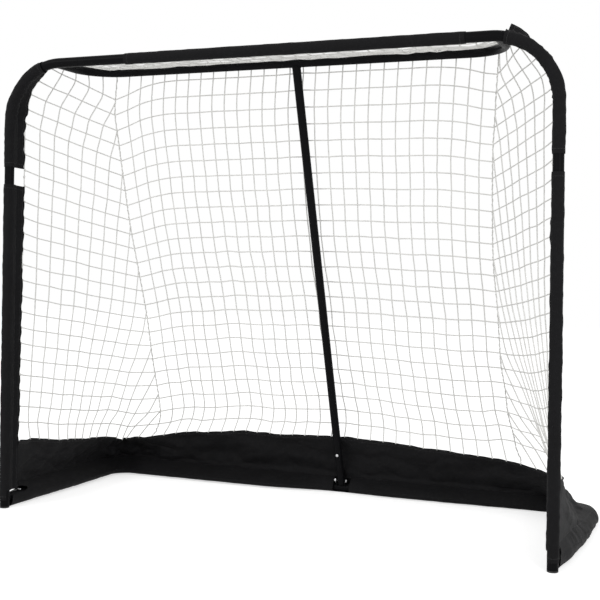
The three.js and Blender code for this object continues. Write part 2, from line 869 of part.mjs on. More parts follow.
function rearNetSurface() {
  const seam = (share, side) => {
    const point = seamPoint(share);
    return vector(side * (point.x - seamRadius - seamGap), point.y, point.z);
  };
  const low = (u) => {
    const side = Math.abs(2 * u - 1);
    const point = lift(bandPoint(lerp(baseRoute.length, seamStart, side), 1), netEdgeGap);
    return u < 0.5 ? mirrored(point) : point;
  };
  const high = (u) => roofEdge(seamTop * (2 * u - 1));
  const surface = between(low, high, (v) => seam(v, -1), (v) => seam(v, 1));
  return (u, v) => {
    const bow = 16 * u * (1 - u) * v * (1 - v);
    return surface(u, v).addScaledVector(back, netBow * bow);
  };
}

// A point of the net's top edge round the roof elbow
function elbowPoint(degrees) {
  const angle = THREE.MathUtils.degToRad(degrees);
  return roofEdge(elbowCentre + (roofBend + netStandOff) * Math.sin(angle));
}

// The line up the frame's corner, a little towards the front or towards the seam
const cornerDistance = baseRoute.lead + baseRoute.arc / 2;

function cornerPoint(share, shift) {
  const foot = lift(bandPoint(cornerDistance, 1), netEdgeGap);
  const hang = netCornerHang * Math.sqrt(4 * share * (1 - share));
  return foot
    .lerp(elbowPoint(elbowFold), share)
    .add(vector(-1, 1, 0).setLength(1).multiplyScalar(shift))
    .add(vector(-1, -1, 0).setLength(1).multiplyScalar(hang));
}

function sideNetSurface() {
  const frontStart = bandHeight + netEdgeGap;
  const bandEnd = (share) => lerp(bandFront, cornerDistance - netFoldGap, share);
  const low = (u) => lift(bandPoint(bandEnd(u), 1), netEdgeGap);
  const start = (v) => {
    const here = flapAt(lerp(frontStart, sleeveEnd, v));
    return flapPoint(here, here.reach + netEdgeGap);
  };
  const end = (v) => cornerPoint(v, -netFoldGap);
  const armSide = vector(armPlace + netStandOff, roofDepth - roofBend, netTop);
  const held = [start(1), armSide, ...elbowTurns.map(elbowPoint), end(1)];
  const top = new THREE.CatmullRomCurve3(held, false, "centripetal");
  return between(low, (u) => top.getPoint(u), start, end);
}

function cornerNetSurface() {
  const seamSide = vector(1, -1, 0).setLength(seamRadius + 1.5 * seamGap);
  const bandEnd = (share) => lerp(cornerDistance + netFoldGap, seamStart - netEdgeGap, share);
  const low = (u) => lift(bandPoint(bandEnd(u), 1), netEdgeGap);
  const start = (v) => cornerPoint(v, netFoldGap);
  const end = (v) => seamPoint(v).add(seamSide);
  return between(low, (u) => start(1).lerp(end(1), u), start, end);
}

function roofNetSurface() {
  const frontEdge = frontRadius + crossbarFlapLength + netThickness / 2;
  const rearEdge = roofDepth - roofNetBack;
  const inner = roofBend - rearRadius - netEdgeGap;
  const sideAt = (depth) => {
    const past = Math.max(0, depth - (roofDepth - roofBend));
    return elbowCentre + Math.sqrt(inner ** 2 - past ** 2);
  };
  return (u, v) => {
    const depth = lerp(frontEdge, rearEdge, v);
    const sag = 16 * u * (1 - u) * v * (1 - v);
    return vector((2 * u - 1) * sideAt(depth), depth, barHeight - roofSag * sag);
  };
}

function addNets() {
  const width = 2 * seamTop;
  addPart("net_rear", net(rearNetSurface(), rearColumns, netRows, width, netRise), netTwine);
  addPair("net", net(sideNetSurface(), sideColumns, netRows, baseDepth, netRise), netTwine);
  const fold = armInset;
  addPair("net_corner", net(cornerNetSurface(), cornerColumns, netRows, fold, netRise), netTwine);
  addPart("net_roof", net(roofNetSurface(), rearColumns, roofRows, width, roofDepth), netTwine);
}

addPosts();
addFootCaps();
addCornerBends();
addCrossbar();
addRoof();
addBase();
addStrut();
addStrutBolt();
for (const name of ["post", "crossbar", "arm", "base"]) {
  addSnap(name, snaps[name], addPair);
}
addSnap("strut", snaps.strut, addPart);
addSleeves();
addBands();
addSeams();
addNets();

// The goal stands on z = 0 with its outline centred on the other two axes
const outline = new THREE.Box3().setFromObject(goal);
const centre = outline.getCenter(vector(0, 0, 0));
goal.position.set(-centre.x, -centre.y, -outline.min.z);

export default goal;
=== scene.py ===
"""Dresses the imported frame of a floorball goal: smooth steel tubes with snap buttons, cloth sleeves, the
band along the floor and a net of knotted cord. Metres, in the frame of the CAD model, mouth towards -Y."""
import json
import math

import bpy
import numpy as np
from mathutils import Matrix, Vector, noise


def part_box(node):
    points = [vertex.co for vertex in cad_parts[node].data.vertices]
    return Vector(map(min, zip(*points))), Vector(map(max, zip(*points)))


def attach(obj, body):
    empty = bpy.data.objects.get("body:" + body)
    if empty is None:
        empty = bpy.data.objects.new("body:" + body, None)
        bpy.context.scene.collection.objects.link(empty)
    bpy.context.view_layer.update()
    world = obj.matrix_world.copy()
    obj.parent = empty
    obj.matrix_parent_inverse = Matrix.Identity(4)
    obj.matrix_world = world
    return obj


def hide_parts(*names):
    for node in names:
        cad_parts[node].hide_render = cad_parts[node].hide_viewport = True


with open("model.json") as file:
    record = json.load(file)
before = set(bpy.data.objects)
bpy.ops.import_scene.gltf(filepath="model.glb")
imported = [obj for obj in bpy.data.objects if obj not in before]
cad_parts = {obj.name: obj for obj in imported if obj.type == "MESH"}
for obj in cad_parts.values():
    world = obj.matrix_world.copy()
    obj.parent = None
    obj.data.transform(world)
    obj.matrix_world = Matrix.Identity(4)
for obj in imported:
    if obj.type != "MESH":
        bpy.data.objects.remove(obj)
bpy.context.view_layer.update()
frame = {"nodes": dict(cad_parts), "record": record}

bl_info = {
    "name": "Floorball Goal",
    "version": (1, 0, 0),
    "blender": (4, 5, 0),
    "location": "3D View > Sidebar > Goal",
    "description": "Builds a floorball goal of plug-together tubes with sleeves, band and net",
    "category": "Object",
}

BODY = "frame"
bar_low, bar_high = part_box("crossbar")
MOUTH_Y = (bar_low.y + bar_high.y) / 2
MM = 0.001


def length(name, description, millimetres):
    """A size that the panel shows"""
    return bpy.props.FloatProperty(
        name=name, description=description, default=millimetres * MM, unit="LENGTH", min=0, precision=4
    )


def colour(name, description, value):
    """A colour that the panel shows"""
    return bpy.props.FloatVectorProperty(
        name=name, description=description, default=value, subtype="COLOR", size=3, min=0, max=1
    )


class GoalTubeSizes(bpy.types.PropertyGroup):
    """Sizes of the steel tubes, as in the CAD model"""

    inner_width: length("Inner width", "Clear width of the mouth", 1400)
    inner_height: length("Inner height", "Clear height of the mouth", 1150)
    base_depth: length("Base depth", "From the mouth to the rear bar on the floor", 580)
    roof_depth: length("Roof depth", "From the crossbar to the rear bar of the roof", 186)
    front_tube: length("Front tube", "Diameter of posts and crossbar", 25)
    rear_tube: length("Rear tube", "Diameter of roof, base and strut", 22)
    wall: length("Tube wall", "Wall of every tube", 1.2)
    front_bend: length("Corner bend", "Radius of the bends between posts and crossbar", 150)
    roof_bend: length("Roof bend", "Radius of the roof elbows", 100)
    base_bend: length("Base bend", "Radius of the base corners", 90)
    base_splay: length("Base splay", "How far the base runs out to the rear", 22)
    base_front: length("Base front height", "Axis of the base tube at the post", 27)
    base_rear: length("Base rear height", "Axis of the base tube at the rear", 12.5)
    strut_aside: length("Strut aside", "How far to the right of the middle the strut stands", 22)
    gap: length("Joint gap", "Gap between two plugged tubes", 0.3)


class GoalClothSizes(bpy.types.PropertyGroup):
    """Sizes of the sleeves and of the band along the floor"""

    cloth: length("Cloth", "Thickness of the woven cloth", 1.0)
    ease: length("Ease", "Gap between a tube and the cloth round it", 0.35)
    flap: length("Flap", "How far a sleeve's flap stands out at the top of a post", 33)
    foot_flap: length("Foot flap", "The same at the foot of a post", 24)
    bar_flap: length("Crossbar flap", "How far the crossbar sleeve's flap stands out", 14)
    band_top: length("Band height", "Height of the band beside the posts", 180)
    crease: length("Channel seam", "Height of the band's channel seam over the tube's axis", 30)
    hem: length("Hem", "Width of the sewn hems", 11)


class GoalNetSizes(bpy.types.PropertyGroup):
    """Sizes of the net"""

    mesh: length("Mesh", "Side of one net square", 42)
    twine: length("Twine", "Diameter of the net cord", 3.1)
    seam_twine: length("Seam twine", "Diameter of the cord that laces two nets together", 1.7)


class GoalFinishes(bpy.types.PropertyGroup):
    """Colours of the finishes"""

    powder_coat: colour("Powder coat", "Paint on the steel tubes", (0.0045, 0.0045, 0.005))
    plated_steel: colour("Plated steel", "Snap buttons, springs, bolt and nut", (0.62, 0.62, 0.63))
    black_plastic: colour("Plastic", "Foot caps", (0.012, 0.012, 0.012))
    black_cloth: colour("Cloth", "Sleeves and band", (0.0075, 0.0074, 0.0080))
    thread: colour("Thread", "Sewing thread", (0.02, 0.02, 0.021))
    net_twine: colour("Net twine", "Cord of the net", (0.80, 0.795, 0.77))


# Points, routes and meshes


def unit(vectors):
    """The same directions with length 1"""
    vectors = np.asarray(vectors, float)
    return vectors / np.maximum(np.linalg.norm(vectors, axis=-1, keepdims=True), 1e-12)


RIGHT, BACK, UP = np.eye(3)
# Edges of metal and plastic that are sharper than this many degrees stay hard
SHARP_ANGLE = 35


class Route:
    """A straight run, a round bend and another straight run"""

    def __init__(self, start, corner, end, radius):
        self.inward, self.onward = unit(corner - start), unit(end - corner)
        self.turn = math.acos(float(self.inward @ self.onward))
        self.side = np.cross(unit(np.cross(self.inward, self.onward)), self.inward)
        tangent = radius * math.tan(self.turn / 2)
        self.radius = radius
        self.lead = float(np.linalg.norm(corner - start)) - tangent
        self.arc = radius * self.turn
        self.length = self.lead + self.arc + float(np.linalg.norm(end - corner)) - tangent
        self.centre = start + self.inward * self.lead + self.side * radius

    def place(self, distances):
        """Points and directions at distances from the start"""
        distances = np.atleast_1d(np.asarray(distances, float))
        angle = np.clip((distances - self.lead) / self.radius, 0, self.turn)[:, None]
        along = self.inward * np.cos(angle) + self.side * np.sin(angle)
        across = self.side * np.cos(angle) - self.inward * np.sin(angle)
        over = np.minimum(distances - self.lead, 0) + np.maximum(distances - self.lead - self.arc, 0)
        return self.centre - across * self.radius + along * over[:, None], along

    def stations(self, start, end, bend_step=0.006):
        """Distances between two ends, close together only round the bend"""
        low, high = max(start, self.lead), min(end, self.lead + self.arc)
        inner = np.linspace(low, high, max(2, int((high - low) / bend_step))) if high > low else []
        return np.unique(np.concatenate([[start], inner, [end]]))


def straight(start, end):
    """A path from start to end: its points and directions"""
    along = unit(end - start)
    return np.array([start, end]), np.array([along, along])


def mirrored(points):
    """Points on the other side of the goal"""
    return np.asarray(points) * [-1, 1, 1]


def other_side(piece):
    """A finished piece, moved to the other side of the goal"""
    piece.data.transform(Matrix.Scale(-1, 4, (1, 0, 0)))
    piece.data.flip_normals()
    return piece


def grid_faces(rows, columns, close_rows=False, close_columns=False):
    """Quads over a grid of rows by columns points"""
    i = np.arange(rows if close_rows else rows - 1)[:, None]
    j = np.arange(columns if close_columns else columns - 1)[None, :]
    down, over = (i + 1) % rows, (j + 1) % columns
    quads = np.stack([i * columns + j, i * columns + over, down * columns + over, down * columns + j], -1)
    return quads.reshape(-1, 4)


class Shape:
    """Points and faces that become one mesh, with a place on the cloth for each point"""

    def __init__(self):
        self.points, self.faces, self.places, self.count = [], [], [], 0

    def add(self, points, faces, places=None):
        """Adds points, faces that count from them and, for cloth, the points' places on it"""
        points = np.asarray(points, float).reshape(-1, 3)
        self.points.append(points)
        self.faces.extend([[int(i) + self.count for i in face] for face in faces])
        places = np.zeros((len(points), 2)) if places is None else np.asarray(places).reshape(-1, 2)
        self.places.append(places)
        self.count += len(points)
        return self

    def tube(self, rings):
        """A closed skin through rings of points, with an end face on both sides"""
        rows, sides, _ = rings.shape
        faces = [list(face) for face in grid_faces(rows, sides, close_columns=True)]
        faces.append(list(range(sides))[::-1])
        faces.append(list(range((rows - 1) * sides, rows * sides)))
        return self.add(rings, faces)

    def mirror(self):
        """The same on the other side of the goal"""
        self.points = [mirrored(points) for points in self.points]
        self.faces = [face[::-1] for face in self.faces]
        return self

    def build(self, name, smooth=SHARP_ANGLE):
        """The mesh as an object; edges sharper than smooth degrees stay hard"""
        mesh = bpy.data.meshes.new(name)
        mesh.from_pydata(np.concatenate(self.points).tolist(), [], self.faces)
        mesh.polygons.foreach_set("use_smooth", [True] * len(mesh.polygons))
        places = np.concatenate(self.places)
        if np.any(places):
            attribute = mesh.attributes.new("cloth_place", "FLOAT_VECTOR", "POINT")
            flat = np.zeros((len(places), 3), np.float32)
            flat[:, :2] = places
            attribute.data.foreach_set("vector", flat.ravel())
        mesh.validate()
        mesh.update()
        mesh.set_sharp_from_angle(angle=math.radians(smooth))
        piece = bpy.data.objects.new(name, mesh)
        bpy.context.scene.collection.objects.link(piece)
        return piece


def circles(places, firsts, seconds, radii, sides):
    """Rounds of points about places, from the first directions towards the second ones"""
    turns = np.arange(sides) * 2 * math.pi / sides
    radii = np.broadcast_to(radii, len(places))[:, None, None]
    return (
        places[:, None]
        + radii * np.cos(turns)[None, :, None] * firsts[:, None]
        + radii * np.sin(turns)[None, :, None] * seconds[:, None]
    )


def rings_on(places, alongs, binormals, radii, sides=36):
    """Rounds of points square to a path, which turn towards the binormals"""
    binormals = np.broadcast_to(binormals, places.shape)
    return circles(places, np.cross(binormals, alongs), binormals, radii, sides)


def lathe(centre, axis, profile, sides=28):
    """A turned piece: profile rows hold a height along the axis and a radius"""
    axis = unit(axis)
    binormal = unit(np.cross(axis, RIGHT if abs(axis[0]) < 0.9 else BACK))
    heights, radii = np.array(profile, float).T
    places = centre + heights[:, None] * axis
    return rings_on(places, np.broadcast_to(axis, places.shape), binormal, radii, sides)


def carve(solid, joined=(), cut=()):
    """Joins solids to a piece and cuts others out of it, and applies the result to its mesh"""
    for other, operation in [(o, "UNION") for o in joined] + [(o, "DIFFERENCE") for o in cut]:
        modifier = solid.modifiers.new(operation, "BOOLEAN")
        modifier.operation, modifier.solver, modifier.object = operation, "EXACT", other
    evaluated = solid.evaluated_get(bpy.context.evaluated_depsgraph_get())
    made = bpy.data.meshes.new_from_object(evaluated)
    solid.modifiers.clear()
    solid.data = made
    made.polygons.foreach_set("use_smooth", [True] * len(made.polygons))
    made.set_sharp_from_angle(angle=math.radians(SHARP_ANGLE))
    for other in [*joined, *cut]:
        bpy.data.objects.remove(other)
    return solid


def settle(piece, material, replaced=(), body=BODY):
    """Gives a piece its finish and its body, and hides the CAD nodes that it stands for"""
    piece.data.materials.clear()
    piece.data.materials.append(material)
    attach(piece, body)
    if replaced:
        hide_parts(*replaced)
    return piece


def wave(*coordinates):
    """Smooth noise between about -1 and 1, the same on every run"""
    return noise.noise(Vector((*coordinates, 0.0, 0.0)[:3]))


def waves(us, vs, seed, scale_u, scale_v):
    """Smooth noise over two arrays of coordinates"""
    us, vs = np.broadcast_arrays(us, vs)
    flat = [wave(u * scale_u, v * scale_v, seed) for u, v in zip(us.ravel(), vs.ravel())]
    return np.array(flat).reshape(us.shape)


def smooth_step(values, low, high):
    """0 below low, 1 above high and a soft rise between them"""
    share = np.clip((np.asarray(values, float) - low) / (high - low), 0, 1)
    return share * share * (3 - 2 * share)


def between(wanted, known, points):
    """Points at wanted places, between points at known places"""
    return np.stack([np.interp(wanted, known, points[:, k]) for k in range(3)], -1)


def smoothed(values, width, **edges):
    """Values averaged over width neighbours, with edges continued as np.pad does"""
    kernel = np.hanning(width)
    return np.convolve(np.pad(values, width // 2, **edges), kernel / kernel.sum(), "valid")


def travelled(line):
    """How far each point of a line is from its start"""
    return np.concatenate([[0], np.cumsum(np.linalg.norm(np.diff(line, axis=0), axis=1))])


def along_line(line, distances):
    """Points at distances along a line"""
    return between(distances, travelled(line), line)


# Shaders


class Value:
    """A socket's output that can be used in a sum: each operator adds a Math node"""

    def __init__(self, shader, socket):
        self.shader, self.socket = shader, socket

    def math(self, operation, *others):
        """The value of one Math node"""
        values = {i: other for i, other in enumerate((self, *others))}
        return self.shader.node("ShaderNodeMath", {"operation": operation}, values)

    def __add__(self, other):
        return self.math("ADD", other)

    def __mul__(self, other):
        return self.math("MULTIPLY", other)

    __radd__ = __add__
    __rmul__ = __mul__

    def sine(self):
        return self.math("SINE")

    def clamped(self, low=0.0, high=1.0):
        """The same value, kept between two others"""
        return self.math("MAXIMUM", low).math("MINIMUM", high)


class Shader:
    """A material's node tree with its Principled shader"""

    def __init__(self, name, **constants):
        self.material = bpy.data.materials.new(name + "_finish")
        self.material.use_nodes = True
        self.tree = self.material.node_tree
        self.principled = self.tree.nodes["Principled BSDF"]
        for key, value in constants.items():
            socket = key.replace("_", " ").title().replace("Ior", "IOR")
            self.principled.inputs[socket].default_value = value

    def node(self, kind, settings=None, sockets=None, output=0):
        """Adds a node with its settings, then its sockets' values or links"""
        made = self.tree.nodes.new(kind)
        for key, value in (settings or {}).items():
            if key == "stops":
                ramp = made.color_ramp
                for spare, (place, tone) in enumerate(value):
                    stop = ramp.elements[spare] if spare < 2 else ramp.elements.new(place)
                    stop.position, stop.color = place, (tone, tone, tone, 1)
            else:
                setattr(made, key, value)
        for key, value in (sockets or {}).items():
            if isinstance(value, Value):
                self.tree.links.new(value.socket, made.inputs[key])
            else:
                made.inputs[key].default_value = value
        return Value(self, made.outputs[output])

    def feed(self, **sockets):
        """Links values into the Principled shader"""
        for name, value in sockets.items():
            self.tree.links.new(value.socket, self.principled.inputs[name.replace("_", " ").title()])
        return self

    def place(self):
        """Coordinates in metres, fixed to the piece"""
        return self.node("ShaderNodeTexCoord", output="Object")

    def cloth_place(self):
        """Coordinates across and along the cloth in metres, and both as a vector"""
        place = self.node("ShaderNodeAttribute", {"attribute_name": "cloth_place"}, output="Vector")
        parts = self.tree.nodes.new("ShaderNodeSeparateXYZ")
        self.tree.links.new(place.socket, parts.inputs[0])
        return Value(self, parts.outputs["X"]), Value(self, parts.outputs["Y"]), place

    def stretched(self, place, scale):
        """Coordinates scaled by three factors"""
        return self.node("ShaderNodeMapping", {}, {"Vector": place, "Scale": scale})

    def speckle(self, place, scale, detail=3.0, rough=0.55):
        """Noise between 0 and 1"""
        sockets = {"Vector": place, "Scale": scale, "Detail": detail, "Roughness": rough}
        return self.node("ShaderNodeTexNoise", {}, sockets, "Fac")

    def ramp(self, value, *stops):
        """Tones for a value, by stops of place and tone"""
        return self.node("ShaderNodeValToRGB", {"stops": stops}, {"Fac": value}, "Color")

    def mix(self, factor, low, high):
        """A colour between two colours or colour values"""
        low, high = ((*c, 1.0) if isinstance(c, (tuple, list)) else c for c in (low, high))
        sockets = {"Factor": factor, 6: low, 7: high}
        return self.node("ShaderNodeMix", {"data_type": "RGBA"}, sockets, 2)

    def bump(self, height, strength, distance):
        """Normals for a relief"""
        sockets = {"Height": height, "Strength": strength, "Distance": distance}
        return self.node("ShaderNodeBump", {}, sockets, "Normal")


def tint(base, factor):
    """A lighter or darker tone of a colour"""
    return tuple(min(1.0, channel * factor) for channel in base)


def powder_coat(finishes):
    """Black powder coat: fine orange peel, faint dust and rubbed spots"""
    shader = Shader("powder_coat", Specular_IOR_Level=0.03)
    place = shader.place()
    peel = shader.speckle(place, 700.0, 2.0)
    cloud = shader.speckle(place, 14.0, 4.0)
    streaks = shader.speckle(shader.stretched(place, (60.0, 60.0, 9.0)), 3.0, 5.0)
    rubbed = shader.ramp(streaks, (0.62, 0), (0.74, 1))
    base = tuple(finishes.powder_coat)
    shader.feed(
        base_color=shader.mix(cloud * 0.7 + rubbed * 0.3, base, tint(base, 1.9)),
        roughness=(cloud * 0.1 + rubbed * 0.1 + 0.3).clamped(),
        normal=shader.bump(peel, 0.25, 0.0003),
    )
    return shader.material


def plated_steel(finishes):
    """Bright zinc plating with fine scratches and dull spots"""
    shader = Shader("plated_steel", Metallic=1.0)
    place = shader.place()
    scratches = shader.speckle(shader.stretched(place, (1.0, 14.0, 1.0)), 900.0, 3.0)
    dull = shader.speckle(place, 260.0, 4.0)
    base = tuple(finishes.plated_steel)
    shader.feed(
        base_color=shader.mix(dull, base, tint(base, 0.72)),
        roughness=(dull * 0.25 + scratches * 0.12 + 0.16).clamped(),
        normal=shader.bump(scratches, 0.2, 0.0001),
    )
    return shader.material


def black_plastic(finishes):
    """Moulded plastic with an eroded grain"""
    shader = Shader("black_plastic", Specular_IOR_Level=0.4)
    place = shader.place()
    grain = shader.speckle(place, 1500.0, 3.0, 0.7)
    cloud = shader.speckle(place, 60.0, 3.0)
    base = tuple(finishes.black_plastic)
    shader.feed(
        base_color=shader.mix(cloud, base, tint(base, 2.2)),
        roughness=(cloud * 0.15 + 0.48).clamped(),
        normal=shader.bump(grain, 0.35, 0.0002),
    )
    return shader.material


def woven_cloth(name, base, lint, gloss):
    """Coated polyester cloth in a plain weave, a little faded and creased"""
    shader = Shader(name, Sheen_Weight=0.015, Sheen_Roughness=0.5, Specular_IOR_Level=0.07)
    across, along, place = shader.cloth_place()
    pitch = 2 * math.pi / 0.0013
    weave = (across * pitch).sine() * (along * pitch).sine() * 0.5 + 0.5
    slub = shader.speckle(shader.stretched(place, (1.0, 0.09, 1.0)), 1400.0, 2.0)
    cloud = shader.speckle(place, 13.0, 5.0)
    crease = shader.ramp(shader.speckle(place, 34.0, 6.0, 0.6), (0.46, 0), (0.5, 1), (0.54, 0))
    dust = shader.speckle(place, 210.0, 4.0)
    tone = (cloud * 0.5 + weave * 0.22 + slub * 0.16 + dust * 0.12).clamped()
    colour = shader.mix(tone, tint(base, 0.55), tint(base, 1.75))
    height = weave * 0.5 + slub * 0.3 + crease * 0.8
    shader.feed(
        base_color=shader.mix(crease * lint, colour, tint(base, 3.2)),
        roughness=(cloud * 0.16 + weave * 0.08 + gloss).clamped(),
        normal=shader.bump(height, 0.45, 0.0006),
    )
    return shader.material


def sleeve_cloth(finishes):
    """The cloth of the sleeves"""
    return woven_cloth("sleeve_cloth", tuple(finishes.black_cloth), 0.1, 0.62)


def band_cloth(finishes):
    """The cloth of the band, a little darker and smoother"""
    return woven_cloth("band_cloth", tint(tuple(finishes.black_cloth), 0.85), 0.16, 0.5)


def sewing_thread(finishes):
    """Twisted polyester thread"""
    shader = Shader("sewing_thread", Sheen_Weight=0.2)
    place = shader.place()
    twist = shader.speckle(place, 2600.0, 2.0)
    base = tuple(finishes.thread)
    shader.feed(
        base_color=shader.mix(twist, tint(base, 0.6), tint(base, 1.8)),
        roughness=(twist * 0.2 + 0.55).clamped(),
        normal=shader.bump(twist, 0.5, 0.0003),
    )
    return shader.material


def net_twine(finishes):
    """White braided polyester cord, slightly grey where it was handled"""
    shader = Shader("net_twine", Sheen_Weight=0.15, Specular_IOR_Level=0.35)
    place = shader.place()
    braid = shader.speckle(place, 1700.0, 3.0, 0.6)
    cloud = shader.speckle(place, 9.0, 4.0)
    soiled = shader.ramp(shader.speckle(place, 42.0, 5.0), (0.5, 0), (0.72, 1))
    base = tuple(finishes.net_twine)
    clean = shader.mix((braid * 0.6 + cloud * 0.4).clamped(), tint(base, 0.8), tint(base, 1.16))
    shader.feed(
        base_color=shader.mix(soiled * 0.35, clean, tint(base, 0.7)),
        roughness=(braid * 0.2 + 0.62).clamped(),
        normal=shader.bump(braid, 0.6, 0.0005),
    )
    return shader.material


FINISHES = (powder_coat, plated_steel, black_plastic, sleeve_cloth, band_cloth, sewing_thread, net_twine)
FINISH_MAKERS = {maker.__name__: maker for maker in FINISHES}


def finish(name):
    """The material of that name, made on first use"""
    known = bpy.data.materials.get(name + "_finish")
    return known or FINISH_MAKERS[name](bpy.context.scene.goal_finishes)


# The goal's lines, worked out from its sizes


class Layout:
    """Routes and places that several pieces share. The right half; the left one is its mirror image"""

    # How far past the end of the bend each tube is joined to the next
    post_joint_past = 0.1495
    bar_joint_past = 0.0625
    roof_joint_past = 0.035
    base_joint_past = 0.0945
    # From the post's axis to the roof arm's
    arm_inset = 0.1375
    arm_stub, base_stub, strut_stub = 0.045, 0.05, 0.03
    strut_flare, strut_rise = 0.008, 0.09
    front_neck, rear_neck = 0.04, 0.035
    button_reach, flange_thick = 0.0025, 0.0015
    button_radius, flange_radius = 0.0045, 0.006
    bolt_up, bolt_hole, ear_thick = 0.0217, 0.0033, 0.0025

    def __init__(self):
        scene = bpy.context.scene
        self.tubes, self.cloth, self.net = scene.goal_tubes, scene.goal_cloth, scene.goal_net
        t = self.tubes
        self.front_radius, self.rear_radius = t.front_tube / 2, t.rear_tube / 2
        self.post_x = t.inner_width / 2 + self.front_radius
        self.bar_z = t.inner_height + self.front_radius
        self.arm_x = self.post_x - self.arm_inset
        y = MOUTH_Y
        self.front = Route(*map(np.array, (
            (self.post_x, y, 0.0), (self.post_x, y, self.bar_z), (0.0, y, self.bar_z))), t.front_bend)
        self.roof = Route(*map(np.array, (
            (self.arm_x, y, self.bar_z), (self.arm_x, y + t.roof_depth, self.bar_z),
            (0.0, y + t.roof_depth, self.bar_z))), t.roof_bend)
        self.base = Route(*map(np.array, (
            (self.post_x, y, t.base_front), (self.post_x + t.base_splay, y + t.base_depth, t.base_rear),
            (0.0, y + t.base_depth, t.base_rear))), t.base_bend)
        self.post_joint = self.bar_z - t.front_bend - self.post_joint_past
        self.bar_joint = self.post_x - t.front_bend - self.bar_joint_past
        self.roof_joint = self.arm_x - t.roof_bend - self.roof_joint_past
        self.base_joint = self.post_x + t.base_splay - t.base_bend - self.base_joint_past
        self.base_up = unit(np.cross(RIGHT, [0, t.base_depth, t.base_rear - t.base_front]))
        self.roof_middle = np.array([0.0, y + t.roof_depth, self.bar_z])
        self.base_middle = np.array([0.0, y + t.base_depth, t.base_rear])
        self.strut_head = self.roof_middle + RIGHT * t.strut_aside
        self.strut_foot = self.base_middle + RIGHT * t.strut_aside
        self.strut_length = float(np.linalg.norm(self.strut_foot - self.strut_head))
        self.strut_along = unit(self.strut_foot - self.strut_head)
        self.strut_front = np.cross(self.strut_along, RIGHT)
        post_at = np.array([self.post_x, y, self.post_joint + self.front_neck / 2])
        bar_at = np.array([self.bar_joint + self.front_neck / 2, y, self.bar_z])
        arm_at = np.array([self.arm_x, y + self.arm_stub + self.rear_neck / 2, self.bar_z])
        base_at = self.base.place(self.base_stub + self.rear_neck / 2)[0][0]
        strut_at = self.strut_head + self.strut_along * (
            self.strut_length - self.strut_rise - self.rear_neck / 2)
        # Each snap button: where on the tube's axis, which way it points and the tube's radius
        self.buttons = {
            "post": (post_at, BACK, self.front_radius),
            "crossbar": (bar_at, BACK, self.front_radius),
            "arm": (arm_at, UP, self.rear_radius),
            "base": (base_at, self.base_up, self.rear_radius),
            "strut": (strut_at, self.strut_front, self.rear_radius),
        }

    def bore(self, radius):
        """Inner radius of a tube"""
        return radius - self.tubes.wall

    def neck(self, radius):
        """Outer radius of a tube's neck, which fits in the bore of the next tube"""
        return self.bore(radius) - self.tubes.gap


# Steel tubes


def tube_solid(name, path, binormal, radius, layout, necks=(0, 0), bore=False, open_start=True):
    """The outside of a tube with its necks, or the bore through it, as a closed solid"""
    places, alongs = path
    neck, wall = layout.neck(radius), layout.tubes.wall
    wide = layout.bore(radius) if bore else radius
    rows = [(place, along, wide) for place, along in zip(places, alongs)]
    if bore:
        past = 0.005
        narrow = neck - wall
        rows = rows[1:-1]
        for end, way, length_, opened in ((0, -1, necks[0], open_start), (-1, 1, necks[1], True)):
            at, along = places[end], alongs[end]
            if length_:
                step = at - along * way * wall
                new = [(step, along, wide), (step, along, narrow),
                       (at + along * way * (length_ + past), along, narrow)]
            else:
                new = [(at + along * way * (past if opened else 0), along, wide)]
            rows = new[::-1] + rows if end == 0 else rows + new
    else:
        edge, lead = 0.0003, 0.0015
        for end, way, length_ in ((0, -1, necks[0]), (-1, 1, necks[1])):
            at, along = places[end], alongs[end]
            if length_:
                tip = at + along * way * length_
                new = [(at, along, neck), (tip - along * way * lead, along, neck),
                       (tip, along, neck - 2 * edge)]
                rows = new[::-1] + rows if end == 0 else rows + new
            else:
                inner = (at - along * way * edge, along, wide)
                rim = (at, along, wide - edge)
                if end == 0:
                    rows[0:1] = [rim, inner]
                else:
                    rows[-1:] = [inner, rim]
    at, along, radii = (np.array(values) for values in zip(*rows))
    return Shape().tube(rings_on(at, along, binormal, radii)).build(name)


def hole_for(layout, button):
    """The hole that a snap button comes through"""
    at, out, radius = layout.buttons[button]
    profile = [(0, layout.button_radius + 0.0002), (radius + 0.005, layout.button_radius + 0.0002)]
    return Shape().tube(lathe(at, out, profile, 24)).build("hole")


def make_tube(layout, name, path, binormal, radius, necks=(0, 0), stubs=(), joined=(), cuts=(), flip=False):
    """One steel tube: outside and stubs joined, bores and holes cut, on the side that flip says.
    A stub holds its root and direction, where its outside starts and ends, its neck and a way across it"""
    body = tube_solid(name, path, binormal, radius, layout, necks)
    bore = tube_solid("bore", path, binormal, radius, layout, necks, bore=True)
    adds, bores = list(joined), [bore, *cuts]
    for root, along, start, reach, neck, up in stubs:
        outer = straight(root + along * start, root + along * reach)
        inner = straight(root + along * radius, root + along * reach)
        adds.append(tube_solid("stub", outer, up, layout.rear_radius, layout, (0, neck)))
        bores.append(tube_solid("bore", inner, up, layout.rear_radius, layout, (0, neck), True, False))
    carve(body, adds, bores)
    if flip:
        other_side(body)
    return settle(body, finish("powder_coat"), [name.removesuffix("_tube")])


